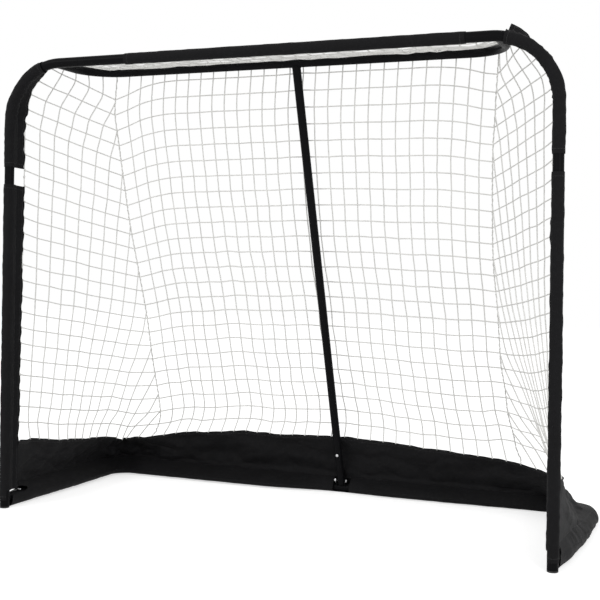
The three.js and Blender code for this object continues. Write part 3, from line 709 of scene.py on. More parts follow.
def weld_bead(name, centre, axis, tube_axis, radius, tube_radius, seed, flip=False):
    """The bead where a stub meets a tube: a wavy ring along the line in which the two meet"""
    turns = np.linspace(0, 2 * math.pi, 64, endpoint=False)
    side = unit(np.cross(axis, tube_axis))
    level = unit(np.cross(side, axis))
    across = radius * np.cos(turns)
    rise = np.sqrt(np.maximum(tube_radius ** 2 - (radius * np.cos(turns)) ** 2, 0))
    if radius >= tube_radius:
        rise = np.sqrt(np.maximum(tube_radius ** 2 - (tube_radius * 0.97 * np.cos(turns)) ** 2, 0))
    axis = unit(axis)
    line = (centre + across[:, None] * side + (radius * np.sin(turns))[:, None] * level
            + rise[:, None] * axis)
    sizes = np.array([0.0017 + 0.0005 * wave(math.cos(t) * 5, math.sin(t) * 5, seed) for t in turns])
    ahead = unit(np.roll(line, -1, 0) - np.roll(line, 1, 0))
    outward = unit(line - centre - ((line - centre) @ axis)[:, None] * axis)
    rings = circles(line, outward, np.cross(ahead, outward), sizes, 8)
    shape = Shape().add(rings, grid_faces(len(line), 8, True, True))
    bead = (shape.mirror() if flip else shape).build(name, 60)
    return settle(bead, finish("powder_coat"))


def make_front_tubes(layout):
    """Posts, corner bends and crossbar"""
    t = layout.tubes
    foot = 0.0043
    base_root, base_along = (values[0] for values in layout.base.place(0))
    arm_root = np.array([layout.arm_x, MOUTH_Y, layout.bar_z])
    for side in ("right", "left"):
        flip = side == "left"
        post = straight(*(np.array([layout.post_x, MOUTH_Y, z]) for z in (foot, layout.post_joint)))
        stub = (base_root, base_along, 4 * t.wall, layout.base_stub, layout.rear_neck, layout.base_up)
        make_tube(layout, f"post_{side}_tube", post, BACK, layout.front_radius, (0, layout.front_neck),
                  [stub], cuts=[hole_for(layout, "post"), hole_for(layout, "base")], flip=flip)
        end = layout.front.length - layout.bar_joint - t.gap
        corner = layout.front.place(layout.front.stations(layout.post_joint + t.gap, end))
        stub = (arm_root, BACK, 4 * t.wall, layout.arm_stub, layout.rear_neck, UP)
        make_tube(layout, f"corner_bend_{side}_tube", corner, BACK, layout.front_radius, stubs=[stub],
                  cuts=[hole_for(layout, name) for name in ("post", "crossbar", "arm")], flip=flip)
        for name, root, along, tube_along in (
            ("base", base_root, base_along, UP), ("arm", arm_root, BACK, RIGHT)):
            weld_bead(f"{name}_weld_{side}", root, along, tube_along, layout.rear_radius,
                      layout.front_radius, 3.1 if flip else 7.4, flip)
    reach = np.array([layout.bar_joint, 0, 0])
    middle = np.array([0, MOUTH_Y, layout.bar_z])
    cuts = [hole_for(layout, "crossbar"), other_side(hole_for(layout, "crossbar"))]
    make_tube(layout, "crossbar_tube", straight(middle - reach, middle + reach), BACK, layout.front_radius,
              (layout.front_neck, layout.front_neck), cuts=cuts)


def bore_across(centre, radius, low, high, sides=24):
    """A pin along X, to be cut out of a piece"""
    return Shape().tube(lathe(centre, RIGHT, [(low, radius), (high, radius)], sides)).build("hole")


def ear(layout, place):
    """One welded ear of the strut's bracket, with rounded edges and a hole for the bolt"""
    radius, thick, bevel = 0.009, layout.ear_thick, 0.0004
    turns = np.linspace(-math.pi / 2, math.pi / 2, 17)
    rise = -layout.strut_along
    level = np.cross(RIGHT, rise)
    outline = [(layout.bolt_up + radius * math.cos(a), radius * math.sin(a)) for a in turns]
    outline += [(0.0, radius), (0.0, -radius)]
    outline = np.array(outline)
    middle = outline.mean(0)
    rings = []
    for depth, inset in ((0, bevel), (bevel, 0), (thick - bevel, 0), (thick, bevel)):
        shrunk = middle + (outline - middle) * (1 - inset / radius)
        flat = shrunk[:, :1] * rise + shrunk[:, 1:] * level
        rings.append(layout.strut_foot + flat + RIGHT * (place + depth))
    plate = Shape().tube(np.array(rings)).build("ear")
    centre = layout.strut_foot + rise * layout.bolt_up
    return carve(plate, cut=[bore_across(centre, layout.bolt_hole, -0.03, 0.03)])


def make_rear_tubes(layout):
    """Roof U, base U and strut"""
    t = layout.tubes
    roof_end = layout.roof.length - layout.roof_joint - t.gap
    base_end = layout.base.length - layout.base_joint - t.gap
    for side in ("right", "left"):
        flip = side == "left"
        elbow = layout.roof.place(layout.roof.stations(layout.arm_stub + t.gap, roof_end))
        make_tube(layout, f"roof_elbow_{side}_tube", elbow, UP, layout.rear_radius,
                  cuts=[hole_for(layout, "arm")], flip=flip)
        run = layout.base.place(layout.base.stations(layout.base_stub + t.gap, base_end))
        make_tube(layout, f"base_side_{side}_tube", run, layout.base_up, layout.rear_radius,
                  cuts=[hole_for(layout, "base")], flip=flip)
    reach = np.array([layout.roof_joint, 0, 0])
    necks = (layout.rear_neck, layout.rear_neck)
    stub = (layout.strut_head, layout.strut_along, -layout.strut_flare, layout.strut_stub,
            layout.rear_neck, RIGHT)
    bar = straight(layout.roof_middle - reach, layout.roof_middle + reach)
    make_tube(layout, "roof_rear_bar_tube", bar, UP, layout.rear_radius, necks, [stub])
    weld_bead("strut_weld", layout.strut_head, layout.strut_along, RIGHT, layout.rear_radius,
              layout.rear_radius, 5.2)
    reach = np.array([layout.base_joint, 0, 0])
    place = layout.rear_radius + t.gap
    bar = straight(layout.base_middle - reach, layout.base_middle + reach)
    make_tube(layout, "base_rear_bar_tube", bar, layout.base_up, layout.rear_radius, necks,
              joined=[ear(layout, place), ear(layout, -place - layout.ear_thick)])

    def at(distance):
        return layout.strut_head + layout.strut_along * distance

    split = layout.strut_length - layout.strut_rise
    make_tube(layout, "strut_tube_tube", straight(at(layout.strut_stub + t.gap), at(split - t.gap)), RIGHT,
              layout.rear_radius, cuts=[hole_for(layout, "strut")])
    bolt = layout.strut_foot - layout.strut_along * layout.bolt_up
    hole = bore_across(bolt, layout.bolt_hole, -0.02, 0.02)
    end = layout.strut_length - layout.rear_radius - t.gap
    make_tube(layout, "strut_foot_tube", straight(at(split), at(end)), RIGHT, layout.rear_radius,
              (layout.rear_neck, 0), cuts=[hole_for(layout, "strut"), hole])


# Caps, buttons and bolt


def make_foot_caps(layout):
    """Plastic caps in the feet: a rounded tread with a ribbed plug"""
    outer = layout.front_radius
    plug = layout.bore(outer) - layout.tubes.gap
    groove = plug - 0.0004
    profile = [(0, outer * 0.55), (0, outer - 0.0012), (0.0004, outer - 0.0004), (0.0012, outer),
               (0.0034, outer), (0.0038, outer - 0.0003), (0.004, outer - 0.001), (0.004, groove)]
    for rib in range(4):
        low = 0.005 + rib * 0.0033
        profile += [(low, groove), (low + 0.0006, plug), (low + 0.0012, plug), (low + 0.002, groove)]
    profile += [(0.019, plug - 0.001)]
    for side, way in (("right", 1), ("left", -1)):
        centre = np.array([way * layout.post_x, MOUTH_Y, 0.0])
        cap = Shape().tube(lathe(centre, UP, profile, 40)).build(f"foot_cap_{side}_moulding", 30)
        settle(cap, finish("black_plastic"), [f"foot_cap_{side}"])


def button_shape(at, out, radius, layout):
    """A pressed steel snap button: flange, shank and domed head"""
    narrow = layout.bore(layout.neck(radius)) * math.cos(math.pi / 10)
    top = math.sqrt(narrow ** 2 - layout.flange_radius ** 2) - 0.0003
    tip = radius + layout.button_reach
    size, flange, low = layout.button_radius, layout.flange_radius, top - layout.flange_thick
    bevel, fillet, crown = 0.0003, 0.0004, 0.0022
    profile = [(low, flange - bevel), (low + bevel, flange), (top - bevel, flange), (top, flange - bevel),
               (top, size + fillet), (top + fillet, size)]
    profile += [(tip - crown + crown * math.sin(a), size * math.cos(a) ** 0.7)
                for a in np.linspace(0, math.pi / 2 * 0.93, 9)]
    return Shape().tube(lathe(at, out, profile, 28))


def make_buttons(layout):
    """The nine snap buttons, and a finish for the leaf springs behind them"""
    for name, (at, out, radius) in layout.buttons.items():
        for side in [None] if name == "strut" else ["right", "left"]:
            shape = button_shape(at, out, radius, layout)
            if side == "left":
                shape.mirror()
            node = f"{name}_button" + (f"_{side}" if side else "")
            spring = f"{name}_button_spring" + (f"_{side}" if side else "")
            bodies = frame["record"]["behaviour"]["bodies"]
            body = next(key for key, members in bodies.items() if node in members)
            settle(shape.build(f"{node}_pin", 40), finish("plated_steel"), [node], body)
            leaf = frame["nodes"][spring]
            leaf.data.materials.clear()
            leaf.data.materials.append(finish("plated_steel"))


def make_bolt(layout):
    """The bolt with a domed socket head and its nut, at the strut's foot"""
    centre = layout.strut_foot - layout.strut_along * layout.bolt_up
    seat = layout.rear_radius + 2 * layout.tubes.gap + layout.ear_thick
    nut_high, tail = 0.005, 0.0015
    profile = [(-seat - nut_high - tail, 0.0024), (-seat - nut_high - tail + 0.0006, 0.003), (seat, 0.003),
               (seat, 0.0046), (seat + 0.0004, 0.005), (seat + 0.0014, 0.005), (seat + 0.0024, 0.0044),
               (seat + 0.0032, 0.0035), (seat + 0.0037, 0.0024)]
    bolt = Shape().tube(lathe(centre, RIGHT, profile, 32)).build("strut_bolt")
    socket = bore_across(centre, 0.0019, seat + 0.0014, seat + 0.006, 6)
    settle(carve(bolt, cut=[socket]), finish("plated_steel"), ["strut_foot_bolt"])
    flat = 0.0055
    profile = [(-seat - nut_high, flat * 0.88), (-seat - nut_high + 0.0006, flat), (-seat - 0.0006, flat),
               (-seat, flat * 0.88)]
    nut = Shape().tube(lathe(centre, RIGHT, profile, 6)).build("strut_nut")
    thread = bore_across(centre, 0.0032, -seat - 0.02, -seat + 0.01)
    settle(carve(nut, cut=[thread]), finish("plated_steel"), ["strut_foot_nut"])


# Cloth


def shell(shape, points, thickness, places, close_columns=False, keep=None):
    """Adds a closed skin of that thickness about a grid of points. keep says which cells are there"""
    rows, columns = points.shape[:2]
    faces = grid_faces(rows, columns, close_columns=close_columns)
    if keep is not None:
        faces = faces[keep.ravel()]
    flat = points.reshape(-1, 3)
    a, b, c, d = (flat[faces[:, i]] for i in range(4))
    facing = np.cross(c - a, d - b)
    normals = np.zeros_like(flat)
    for i in range(4):
        np.add.at(normals, faces[:, i], facing)
    used = np.unique(faces)
    count = len(used)
    order = np.zeros(len(flat), int)
    order[used] = np.arange(count)
    faces = order[faces]
    offset = unit(normals[used]) * thickness / 2
    skin = [list(face) for face in faces] + [[i + count for i in face[::-1]] for face in faces]
    edges = np.concatenate([faces[:, [i, (i + 1) % 4]] for i in range(4)]).tolist()
    known = {tuple(edge) for edge in edges}
    skin += [[b, a, a + count, b + count] for a, b in edges if (b, a) not in known]
    flat_places = np.asarray(places).reshape(-1, 2)[used]
    middle = flat[used]
    return shape.add(np.concatenate([middle + offset, middle - offset]), skin,
                     np.concatenate([flat_places, flat_places]))


def cloth_size(points, close_columns=False):
    """(width, length, area) of a grid of points, laid flat"""
    over = np.linalg.norm(np.diff(points, axis=1), axis=2)
    if close_columns:
        over = np.concatenate([over, np.linalg.norm(points[:, :1] - points[:, -1:], axis=2)], 1)
    down = np.linalg.norm(np.diff(points, axis=0), axis=2)
    widths = over.sum(1)
    length_ = float(down.sum(0).mean())
    return float(widths.max()), length_, float(widths.mean()) * length_


def thread_row(shape, line, normals, pitch=0.0034, part=0.68, radius=0.00032):
    """A row of stitches along a line on a cloth: short bulging dashes of thread"""
    far = travelled(line)
    starts = np.arange(pitch / 2, far[-1] - pitch, pitch)
    share = np.array([0, 0.12, 0.5, 0.88, 1.0])
    swell = np.array([0.35, 0.9, 1.0, 0.9, 0.35])
    sink = np.array([-0.9, 0.1, 0.7, 0.1, -0.9]) * radius
    for start in starts:
        distances = start + share * pitch * part
        centre, up = between(distances, far, line), unit(between(distances, far, normals))
        along = unit(centre[-1] - centre[0])
        shape.tube(circles(centre + up * sink[:, None], np.cross(up, along), up, radius * swell, 5))


def settle_thread(shape, name):
    """The stitches as one piece"""
    return settle(shape.build(name, 60), finish("sewing_thread"))


class Sleeve:
    """Cloth wrapped round a tube, its two edges sewn together into a flap that stands away from it"""

    folds, strip, join, arc = 4, 10, 4, 30
    bead, half = 0.0021, 0.0012

    def __init__(self, layout, radius):
        self.radius = radius + layout.cloth.ease + layout.cloth.cloth / 2
        self.thickness = layout.cloth.cloth

    def outline(self, depth):
        """Distances towards the flap and across it, for flap edges that far from the axis"""
        depth = np.atleast_1d(depth)[:, None]
        meet = math.radians(50)
        start = np.array([math.cos(meet), math.sin(meet)]) * self.radius
        reach = (start[1] - self.half) / math.sin(math.pi / 2 - meet)
        join = start[0] + reach * math.sin(meet)
        turns = np.linspace(0, math.pi / 2, self.folds + 1)[None, :]
        fold = depth - self.bead + self.bead * np.cos(turns), np.broadcast_to(
            self.bead * np.sin(turns), (len(depth), self.folds + 1))
        share = np.linspace(0, 1, self.strip + 1)[None, 1:]
        strip_f = (depth - self.bead) + (join - depth + self.bead) * share
        away = smooth_step(strip_f, depth - 5 * self.bead, depth - self.bead)
        strip = strip_f, self.half + (self.bead - self.half) * away
        share = np.linspace(0, 1, self.join + 1)[None, 1:]
        sloping = (join + (start[0] - join) * share, self.half + (start[1] - self.half) * share)
        sloping = tuple(np.broadcast_to(values, (len(depth), self.join)) for values in sloping)
        turns = np.linspace(meet, math.pi, self.arc // 2 + 1)[None, 1:]
        round_ = tuple(np.broadcast_to(values, (len(depth), self.arc // 2)) for values in (
            self.radius * np.cos(turns), self.radius * np.sin(turns)))
        ahead, across = (np.concatenate(parts, 1) for parts in zip(fold, strip, sloping, round_))
        back = slice(-2, 0, -1)
        return np.concatenate([ahead, ahead[:, back]], 1), np.concatenate([across, -across[:, back]], 1)

    def make(self, name, distances, places, alongs, flaps, depths, seed, loose=0.0, flip=False,
             inner_folds=0.0, tip=0.0, ends=(0.0, 0.0), open_below=0.0):
        """The sleeve, its hems and stitches. loose is how much it wrinkles, ends slant its two ends, and
        below open_below the cloth only goes round the front"""
        ahead, across = self.outline(depths)
        length_ = distances[-1] - distances[0]
        share = ((distances - distances[0]) / length_)[:, None]
        turn = np.arctan2(across, ahead)
        near = 1 - smooth_step(ahead, self.radius * 0.7, self.radius * 1.7)
        v = distances[:, None]
        rumple = (waves(v, np.cos(turn) * 0.013, seed, 26, 90) * 0.6
                  + waves(v, np.sin(turn) * 0.013, seed + 4, 75, 120) * 0.5)
        swell = loose * np.maximum(rumple + 0.18, 0) * near
        rings = np.sin(v * 2 * math.pi / 0.016 + 3 * waves(v, turn * 0.004, seed + 8, 20, 200))
        rings = np.maximum(rings, 0)
        bent = np.linalg.norm(np.gradient(alongs, distances, axis=0), axis=1)[:, None]
        bent = np.clip(bent * 0.15, 0, 1)
        swell = swell + inner_folds * rings * bent * near * smooth_step(np.cos(turn), -0.2, 0.9)
        flutter = smooth_step(ahead, self.radius, depths[:, None])
        sway = flutter * loose * (
            2.2 * waves(v, 0 * v, seed + 11, 13, 1) + 1.1 * waves(v, 0 * v, seed + 17, 41, 1))
        sway = sway + flutter * loose * 0.5 * waves(v, ahead, seed + 23, 90, 60)
        size = np.hypot(ahead, across)
        if tip:
            lift = tip * smooth_step(share, 1 - 0.07 / length_, 1) * near
            swell = swell + lift * smooth_step(-np.cos(turn), -0.3, 0.9)
        ahead, across = ahead * (1 + swell / size), across * (1 + swell / size) + sway
        slant = ends[0] * (1 - smooth_step(v - distances[0], 0, 0.06)) - ends[1] * smooth_step(
            v - distances[0], length_ - 0.06, length_)
        shift = slant * smooth_step(ahead, 0, depths[:, None])
        side = np.cross(alongs, flaps)
        points = (places[:, None] + ahead[..., None] * flaps[:, None] + across[..., None] * side[:, None]
                  + shift[..., None] * alongs[:, None])
        if flip:
            points = mirrored(points)[:, ::-1]
            ahead, turn = ahead[:, ::-1], turn[:, ::-1]
        cloth_places = np.stack(np.broadcast_arrays(travelled(points[0])[None], v), -1)
        front = np.abs(np.degrees(turn)) > 95
        keep = (v[:-1] >= open_below) | (front & np.roll(front, -1, 1))[:-1]
        shape = shell(Shape(), points, self.thickness, cloth_places, close_columns=True, keep=keep)
        sleeve_name = name.removesuffix("_cover")
        piece = settle(shape.build(name, 60), finish("sleeve_cloth"), [sleeve_name])
        width, long_, area = cloth_size(points, True)
        stitches = Shape()
        over = np.roll(points, -1, 1) - np.roll(points, 1, 1)
        down = np.gradient(points, axis=0)
        normals = unit(np.cross(over, down))
        lift = normals * (self.thickness / 2)
        columns = points.shape[1]
        for column in (self.folds + 2, self.folds + self.strip, columns - self.folds - 2,
                       columns - self.folds - self.strip):
            column = columns - 1 - column if flip else column
            high = distances >= open_below
            thread_row(stitches, (points + lift)[high, column], normals[high, column])
        for row_at in (0.008, length_ - 0.008):
            row = int(np.argmin(np.abs(distances - distances[0] - row_at)))
            there = front[row] if distances[row] < open_below else slice(None)
            thread_row(stitches, (points + lift)[row, there], normals[row, there])
        seam = settle_thread(stitches, sleeve_name + "_stitches")
        return points


def flap_line(layout, distances):
    """Which way the flaps of the front frame point and how far their edges are from the axis"""
    places, alongs = layout.front.place(distances)
    bend = (np.asarray(distances) - layout.front.lead) / layout.front.arc
    turn = np.radians(np.interp(bend, *np.array(FLAP_TURNS).T))[:, None]
    flaps = BACK * np.cos(turn) + np.cross(alongs, BACK) * np.sin(turn)
    height = np.clip(places[:, 2] / layout.post_joint, 0, 1)
    cloth = layout.cloth
    depths = layout.front_radius + cloth.foot_flap + (cloth.flap - cloth.foot_flap) * height
    depths = depths + 0.009 * smooth_step(bend, 0, 0.25)
    depths = depths * (1 - 0.16 * smooth_step(bend, 0.7, 0.87))
    return places, alongs, flaps, depths


def scallops(layout, distances, depth):
    """How far the edge of a flap falls back between the places where the net pulls at it"""
    return depth * (0.5 - 0.5 * np.cos(2 * math.pi * distances / layout.net.mesh)) ** 1.5


# How flaps turn along the corner bend: shares of the bend and degrees from straight back, inward above 0
FLAP_TURNS = [(0, 25), (0.15, 17), (0.3, 6), (0.4, 0), (0.62, -5), (0.7, -14), (0.78, -34), (0.87, -45)]
# Distances from the foot, along the tube: the gap between post and corner sleeve, and the corner's end
GAP_LOW = {"left": 0.849, "right": 0.862}
GAP_HIGH = {"left": 0.897, "right": 0.900}
CORNER_END = {"left": 1.200, "right": 1.217}
# The net's knots in the flaps, also from the foot
TIES_FROM, TIES_APART = 0.18, 0.0418


def make_sleeves(layout):
    """The five sleeves of the front frame"""
    for side in ("right", "left"):
        flip = side == "left"
        seed = 31.0 if flip else 2.0
        sleeve = Sleeve(layout, layout.front_radius)
        distances = np.arange(0.021, GAP_LOW[side] + 0.0025, 0.005)
        places, alongs, flaps, depths = flap_line(layout, distances)
        sleeve.held_by = [f"post_{side}_tube"]
        sleeve.make(f"post_sleeve_{side}_cover", distances, places, alongs, flaps,
                    depths - scallops(layout, distances, 0.0022), seed, 0.0024, flip,
                    ends=(0.0, 0.004 if flip else -0.002), open_below=0.046)
        distances = np.unique(np.concatenate([np.arange(GAP_HIGH[side], layout.front.lead, 0.005),
                                              np.arange(layout.front.lead, CORNER_END[side], 0.0035),
                                              [CORNER_END[side]]]))
        places, alongs, flaps, depths = flap_line(layout, distances)
        sleeve.held_by = [f"corner_bend_{side}_tube"]
        sleeve.make(f"corner_sleeve_{side}_cover", distances, places, alongs, flaps,
                    depths - scallops(layout, distances, 0.005), seed + 50, 0.0026, flip,
                    inner_folds=0.0035, tip=0.002, ends=(-0.003, 0.0))
    sleeve = Sleeve(layout, layout.front_radius)
    sleeve.strip = 5
    sleeve.held_by = ["crossbar_tube"]
    distances = np.arange(0, 0.875, 0.005)
    places = np.array([-0.365, MOUTH_Y, layout.bar_z]) + distances[:, None] * RIGHT
    alongs = np.broadcast_to(RIGHT, places.shape)
    flaps = np.broadcast_to(BACK, places.shape)
    depths = np.full(len(distances), layout.front_radius + layout.cloth.bar_flap)
    sleeve.make("crossbar_sleeve_cover", distances, places, alongs, flaps, depths, 77.0, 0.0011)


# The band along the floor


class Band:
    """The band's cloth: a channel round the base tube and a sheet that stands up from it.
    Shares of the height beside the posts and leans inward, at distances along each side"""

    row = 0.010
    height_shares = {
        "left": [(0, 1), (0.23, 0.83), (0.43, 0.69), (0.56, 0.61), (0.67, 0.65), (0.76, 0.74),
                 (0.85, 0.82), (1, 0.87), (1.27, 0.905)],
        "right": [(0, 1), (0.06, 0.99), (0.15, 0.97), (0.23, 0.85), (0.3, 0.74), (0.4, 0.65),
                  (0.5, 0.62), (0.6, 0.63), (0.67, 0.67), (0.74, 0.72), (0.85, 0.79), (1, 0.84),
                  (1.1, 0.88), (1.27, 0.905)],
    }
    leans = {
        "left": [(0, 0.03), (0.23, 0.038), (0.43, 0.047), (0.56, 0.06), (0.67, 0.05), (0.8, 0.042),
                 (1.27, 0.04)],
        "right": [(0, 0.016), (0.15, 0.018), (0.23, 0.03), (0.3, 0.05), (0.4, 0.078), (0.5, 0.095),
                  (0.6, 0.095), (0.68, 0.07), (0.78, 0.048), (1.27, 0.04)],
    }
    # How the lean grows with height: 1 evenly, above 1 mostly near the top, below 1 mostly low down
    left_slump = 1.6
    right_slump = [(0, 1.6), (0.2, 1.3), (0.3, 0.6), (0.38, 0.36), (0.62, 0.36), (0.72, 0.9), (0.85, 1.5),
                   (1.27, 1.6)]
    # How far the channel's walls stand off the tube, outside and inside
    outer_slack = [(0, 0.010), (0.12, 0.0125), (0.23, 0.015), (0.31, 0.0145), (0.4, 0.010), (0.48, 0.006),
                   (0.56, 0.005), (0.66, 0.008), (1.1, 0.008), (1.25, 0.002)]
    inner_slack = {
        "left": [(0, 0.008), (0.12, 0.014), (0.3, 0.032), (0.56, 0.040), (0.9, 0.042), (1.08, 0.042),
                 (1.16, 0.030), (1.25, 0.006)],
        "right": [(0, 0.008), (0.12, 0.012), (0.4, 0.012), (0.56, 0.005), (0.7, 0.006), (0.9, 0.016),
                  (1.1, 0.020), (1.25, 0.006)],
    }
    # Distance from the mouth to the middle of the frame's rear corner
    corner_at = 0.56

    def __init__(self, layout):
        self.layout = layout
        self.route = layout.base
        self.middle = layout.base.length
        self.radius = layout.rear_radius + layout.cloth.ease + layout.cloth.cloth / 2

    @staticmethod
    def follow(table, distances):
        """A smooth curve through a table of places and values"""
        at, values = np.array(table).T
        fine = np.linspace(at[0], at[-1], 400)
        return np.interp(distances, fine, smoothed(np.interp(fine, at, values), 27, mode="edge"))

    def sides(self, q):
        """Distances from the mouth, and whether each place is on the right side"""
        return self.middle - np.abs(q), np.asarray(q) > 0

    def either(self, tables, q):
        """Values from the table of the side each place is on"""
        distances, right = self.sides(q)
        right_values, left_values = (self.follow(tables[side], distances) for side in ("right", "left"))
        return np.where(right, right_values, left_values)

    def top(self, q):
        """Height and inward lean of the top edge at places q, counted from the middle of the rear"""
        ripple = waves(q, 0 * q, 5.0, 9, 1) * 0.004 + waves(q, 0 * q, 9.0, 31, 1) * 0.002
        high = self.either(self.height_shares, q) * self.layout.cloth.band_top + ripple
        sway = waves(q, 0 * q, 14.0, 11, 1) * 0.008 + waves(q, 0 * q, 19.0, 37, 1) * 0.003
        return high, self.either(self.leans, q) + sway * smooth_step(self.middle - np.abs(q), 0.08, 0.25)

    def frame_at(self, q):
        """Axis points, the directions outward and up at places q"""
        distances, right = self.sides(q)
        places, alongs = self.route.place(distances)
        way = np.where(right, 1.0, -1.0)[:, None] * np.array([[1.0, 0, 0]]) + np.array([[0, 1.0, 1.0]])
        outward = unit(np.cross(alongs, UP))
        return places * way, outward * way, np.broadcast_to(UP, places.shape)

    def profile(self, q):
        """Distances outward and up of the band's middle surface, in columns from the channel's seam to the
        top, and each column's share of the sheet"""
        high, lean = self.top(q)
        places, _, _ = self.frame_at(q)
        high = (high - places[:, 2])[:, None]
        lean = lean[:, None]
        distances, right = self.sides(q)
        slump = np.where(right, self.follow(self.right_slump, distances), self.left_slump)[:, None]
        sunk = smooth_step(distances, 0.2, 0.32) * (1 - smooth_step(distances, 0.58, 0.7))
        sunk = np.where(right, sunk, 0)
        crease = self.layout.cloth.crease - 0.010 * sunk[:, None]
        rows = len(q)
        deep = (places[:, 2] - self.layout.cloth.cloth / 2 - 0.0002)[:, None]
        outer, inner = self.follow(self.outer_slack, distances), self.either(self.inner_slack, q)
        snug = 0.2 + 0.8 * smooth_step(distances, 0.016, 0.1)
        outer, inner = (outer * snug)[:, None], (inner * snug)[:, None]
        turns = np.radians(np.linspace(160, 380, 25))[None, :]
        cosine, sine = np.cos(turns), np.sin(turns)
        low = -np.maximum(deep, self.radius) * np.abs(sine) ** 0.62
        around = (cosine * (self.radius + np.where(cosine > 0, outer, inner)),
                  np.where(sine < 0, low, self.radius * sine))
        seam, ledge = (0.0040, crease), (0.0054, crease)
        share = np.linspace(0, 1, 7)[None, :-1]
        down = [start + (part[:, :1] - start) * share for start, part in zip(seam, around)]
        down[0] = down[0] - 0.0025 * np.sin(share * math.pi)
        share = np.linspace(0, 1, 6)[None, 1:]
        up = [part[:, -1:] + (end - part[:, -1:]) * share for end, part in zip(ledge, around)]
        up[0] = up[0] + 0.002 * np.sin(share * math.pi)
        share = np.linspace(0, 1, 26)[None, 1:]
        sheet = ledge[0] - lean * share ** slump, ledge[1] + (high - ledge[1]) * share
        self.sheet_from = sum(part[0].shape[1] for part in (down, around, up)) - 1
        out, rise = (np.concatenate([np.broadcast_to(part, (rows, part.shape[1])) for part in parts], 1)
                     for parts in zip(down, around, up, sheet))
        return out, rise, np.concatenate([np.zeros(self.sheet_from + 1), share[0]])

    def grid(self):
        """The band's middle surface with its creases"""
        q = np.linspace(-self.middle, self.middle, int(2 * self.middle / self.row) + 1)
        _, rise, sheet_share = self.profile(q)
        right = q[:, None] > 0
        # The lowest cloth starts right behind the post and the rest further back. On the left the cloth
        # beside the base tube starts still further back
        above = smooth_step(rise[:1], 0.004, 0.010)
        opening = above * (1 - smooth_step(rise[:1], 0.018, 0.026)) * np.where(right, 0, 0.056)
        front = 0.0165 + 0.0105 * above + opening
        reach = self.middle - np.abs(q)[:, None]
        distances = front + (self.middle - front) * (reach / self.middle)
        spots = np.sign(q)[:, None] * (self.middle - distances)
        spots[np.abs(q) < 1e-9] = 0
        points = np.empty((*spots.shape, 3))
        for column, share in enumerate(sheet_share):
            here = spots[:, column]
            out, rise = (values[:, column] for values in self.profile(here)[:2])
            places, outward, up = self.frame_at(here)
            crumple = self.crumple(here, share, column)
            if share <= 0:
                crumple = crumple * np.sign(out)
            points[:, column] = places + (out + crumple)[:, None] * outward + rise[:, None] * up
        self.sheet_share = sheet_share
        points[..., 2] = np.maximum(points[..., 2], self.layout.cloth.cloth / 2 + 0.0001)
        return points, spots

    def crumple(self, q, share, column):
        """Creases and puckers outward of the smooth cloth"""
        distances, right = self.sides(q)
        if share <= 0:
            puckers = waves(q, 0 * q + column * 0.003, 3.0, 42, 60) * 0.0028
            puckers = puckers * smooth_step(distances, 0.06, 0.15)
            return puckers * smooth_step(self.middle - distances, 0.04, 0.1)
        soft = smooth_step(share, 0.0, 0.12)
        high, _ = self.top(q)
        height = share * high
        folds = waves(q, height, 41.0, 7, 16) * 0.011 + waves(q, height, 43.0, 19, 26) * 0.005
        sharp = 1 - np.abs(waves(q + height * 0.5, height, 47.0, 9, 11)) * 5
        folds = folds + np.maximum(sharp, 0) * 0.0045
        diagonal = 1 - np.abs(waves(q - height * 0.9, height * 0.6, 53.0, 13, 14)) * 6
        folds = folds + np.maximum(diagonal, 0) * 0.0035
        near_seam = (1 - smooth_step(share, 0.0, 0.35)) * waves(q, 0 * q, 59.0, 45, 1) * 0.004
        corner = np.exp(-((distances - self.corner_at) / 0.085) ** 2)
        angle = (distances - self.corner_at) / 0.13
        pleats = np.sin(angle * 14 + 2.2 * waves(q, height, 61.0, 6, 9)) * corner * (0.004 + 0.010 * share)
        pleats = pleats * np.where(right, 0.7 * smooth_step(distances, 0.4, 0.6), 0.8)
        ledge = np.exp(-((share - 0.07) / 0.06) ** 2) * 0.0015
        ledge = ledge * (1 + 0.5 * waves(q, 0 * q, 67.0, 12, 1))
        quiet = smooth_step(distances, 0.037, np.where(right, 0.34, 0.12))
        folds = folds * (1 + 1.1 * np.exp(-((distances - 0.6) / 0.14) ** 2))
        return ((folds + pleats) * soft + near_seam + ledge) * quiet


def make_band(layout):
    """The band, its hems and stitches. Returns its top edge for the net, with the place of each point"""
    band = Band(layout)
    points, spots = band.grid()
    rows, columns = points.shape[:2]
    # The inner wall is open where the strut stands in the channel
    opening_half, inner_columns = 0.023, 14
    centre = np.abs((spots[:-1, :-1] + spots[1:, 1:]) / 2 - layout.tubes.strut_aside)
    keep = np.ones((rows - 1, columns - 1), bool)
    keep[:, :inner_columns] = centre[:, :inner_columns] > opening_half
    places = np.stack(np.broadcast_arrays(travelled(points[0])[None], spots), -1)
    shape = shell(Shape(), points, layout.cloth.cloth, places, keep=keep)
    cloth = settle(shape.build("floor_band", 60), finish("band_cloth"),
                   ["band_left", "band_rear", "band_right"])
    over, down = np.gradient(points, axis=1), np.gradient(points, axis=0)
    normals = unit(np.cross(over, down))
    thread = Shape()
    half = layout.cloth.cloth / 2
    usual_height = 0.13
    hem_column = int(np.argmin(np.abs((1 - band.sheet_share) * usual_height - layout.cloth.hem)))
    for column in (band.sheet_from, hem_column, columns - 2):
        for way in (1, -1):
            line = points[:, column] + normals[:, column] * half * way
            thread_row(thread, line, normals[:, column] * way, pitch=0.0042)
    stitches = settle_thread(thread, "floor_band_stitches")
    width, long_, area = cloth_size(points)
    order = np.argsort(spots[:, -1])
    return points[order, -1], spots[order, -1]


# Net


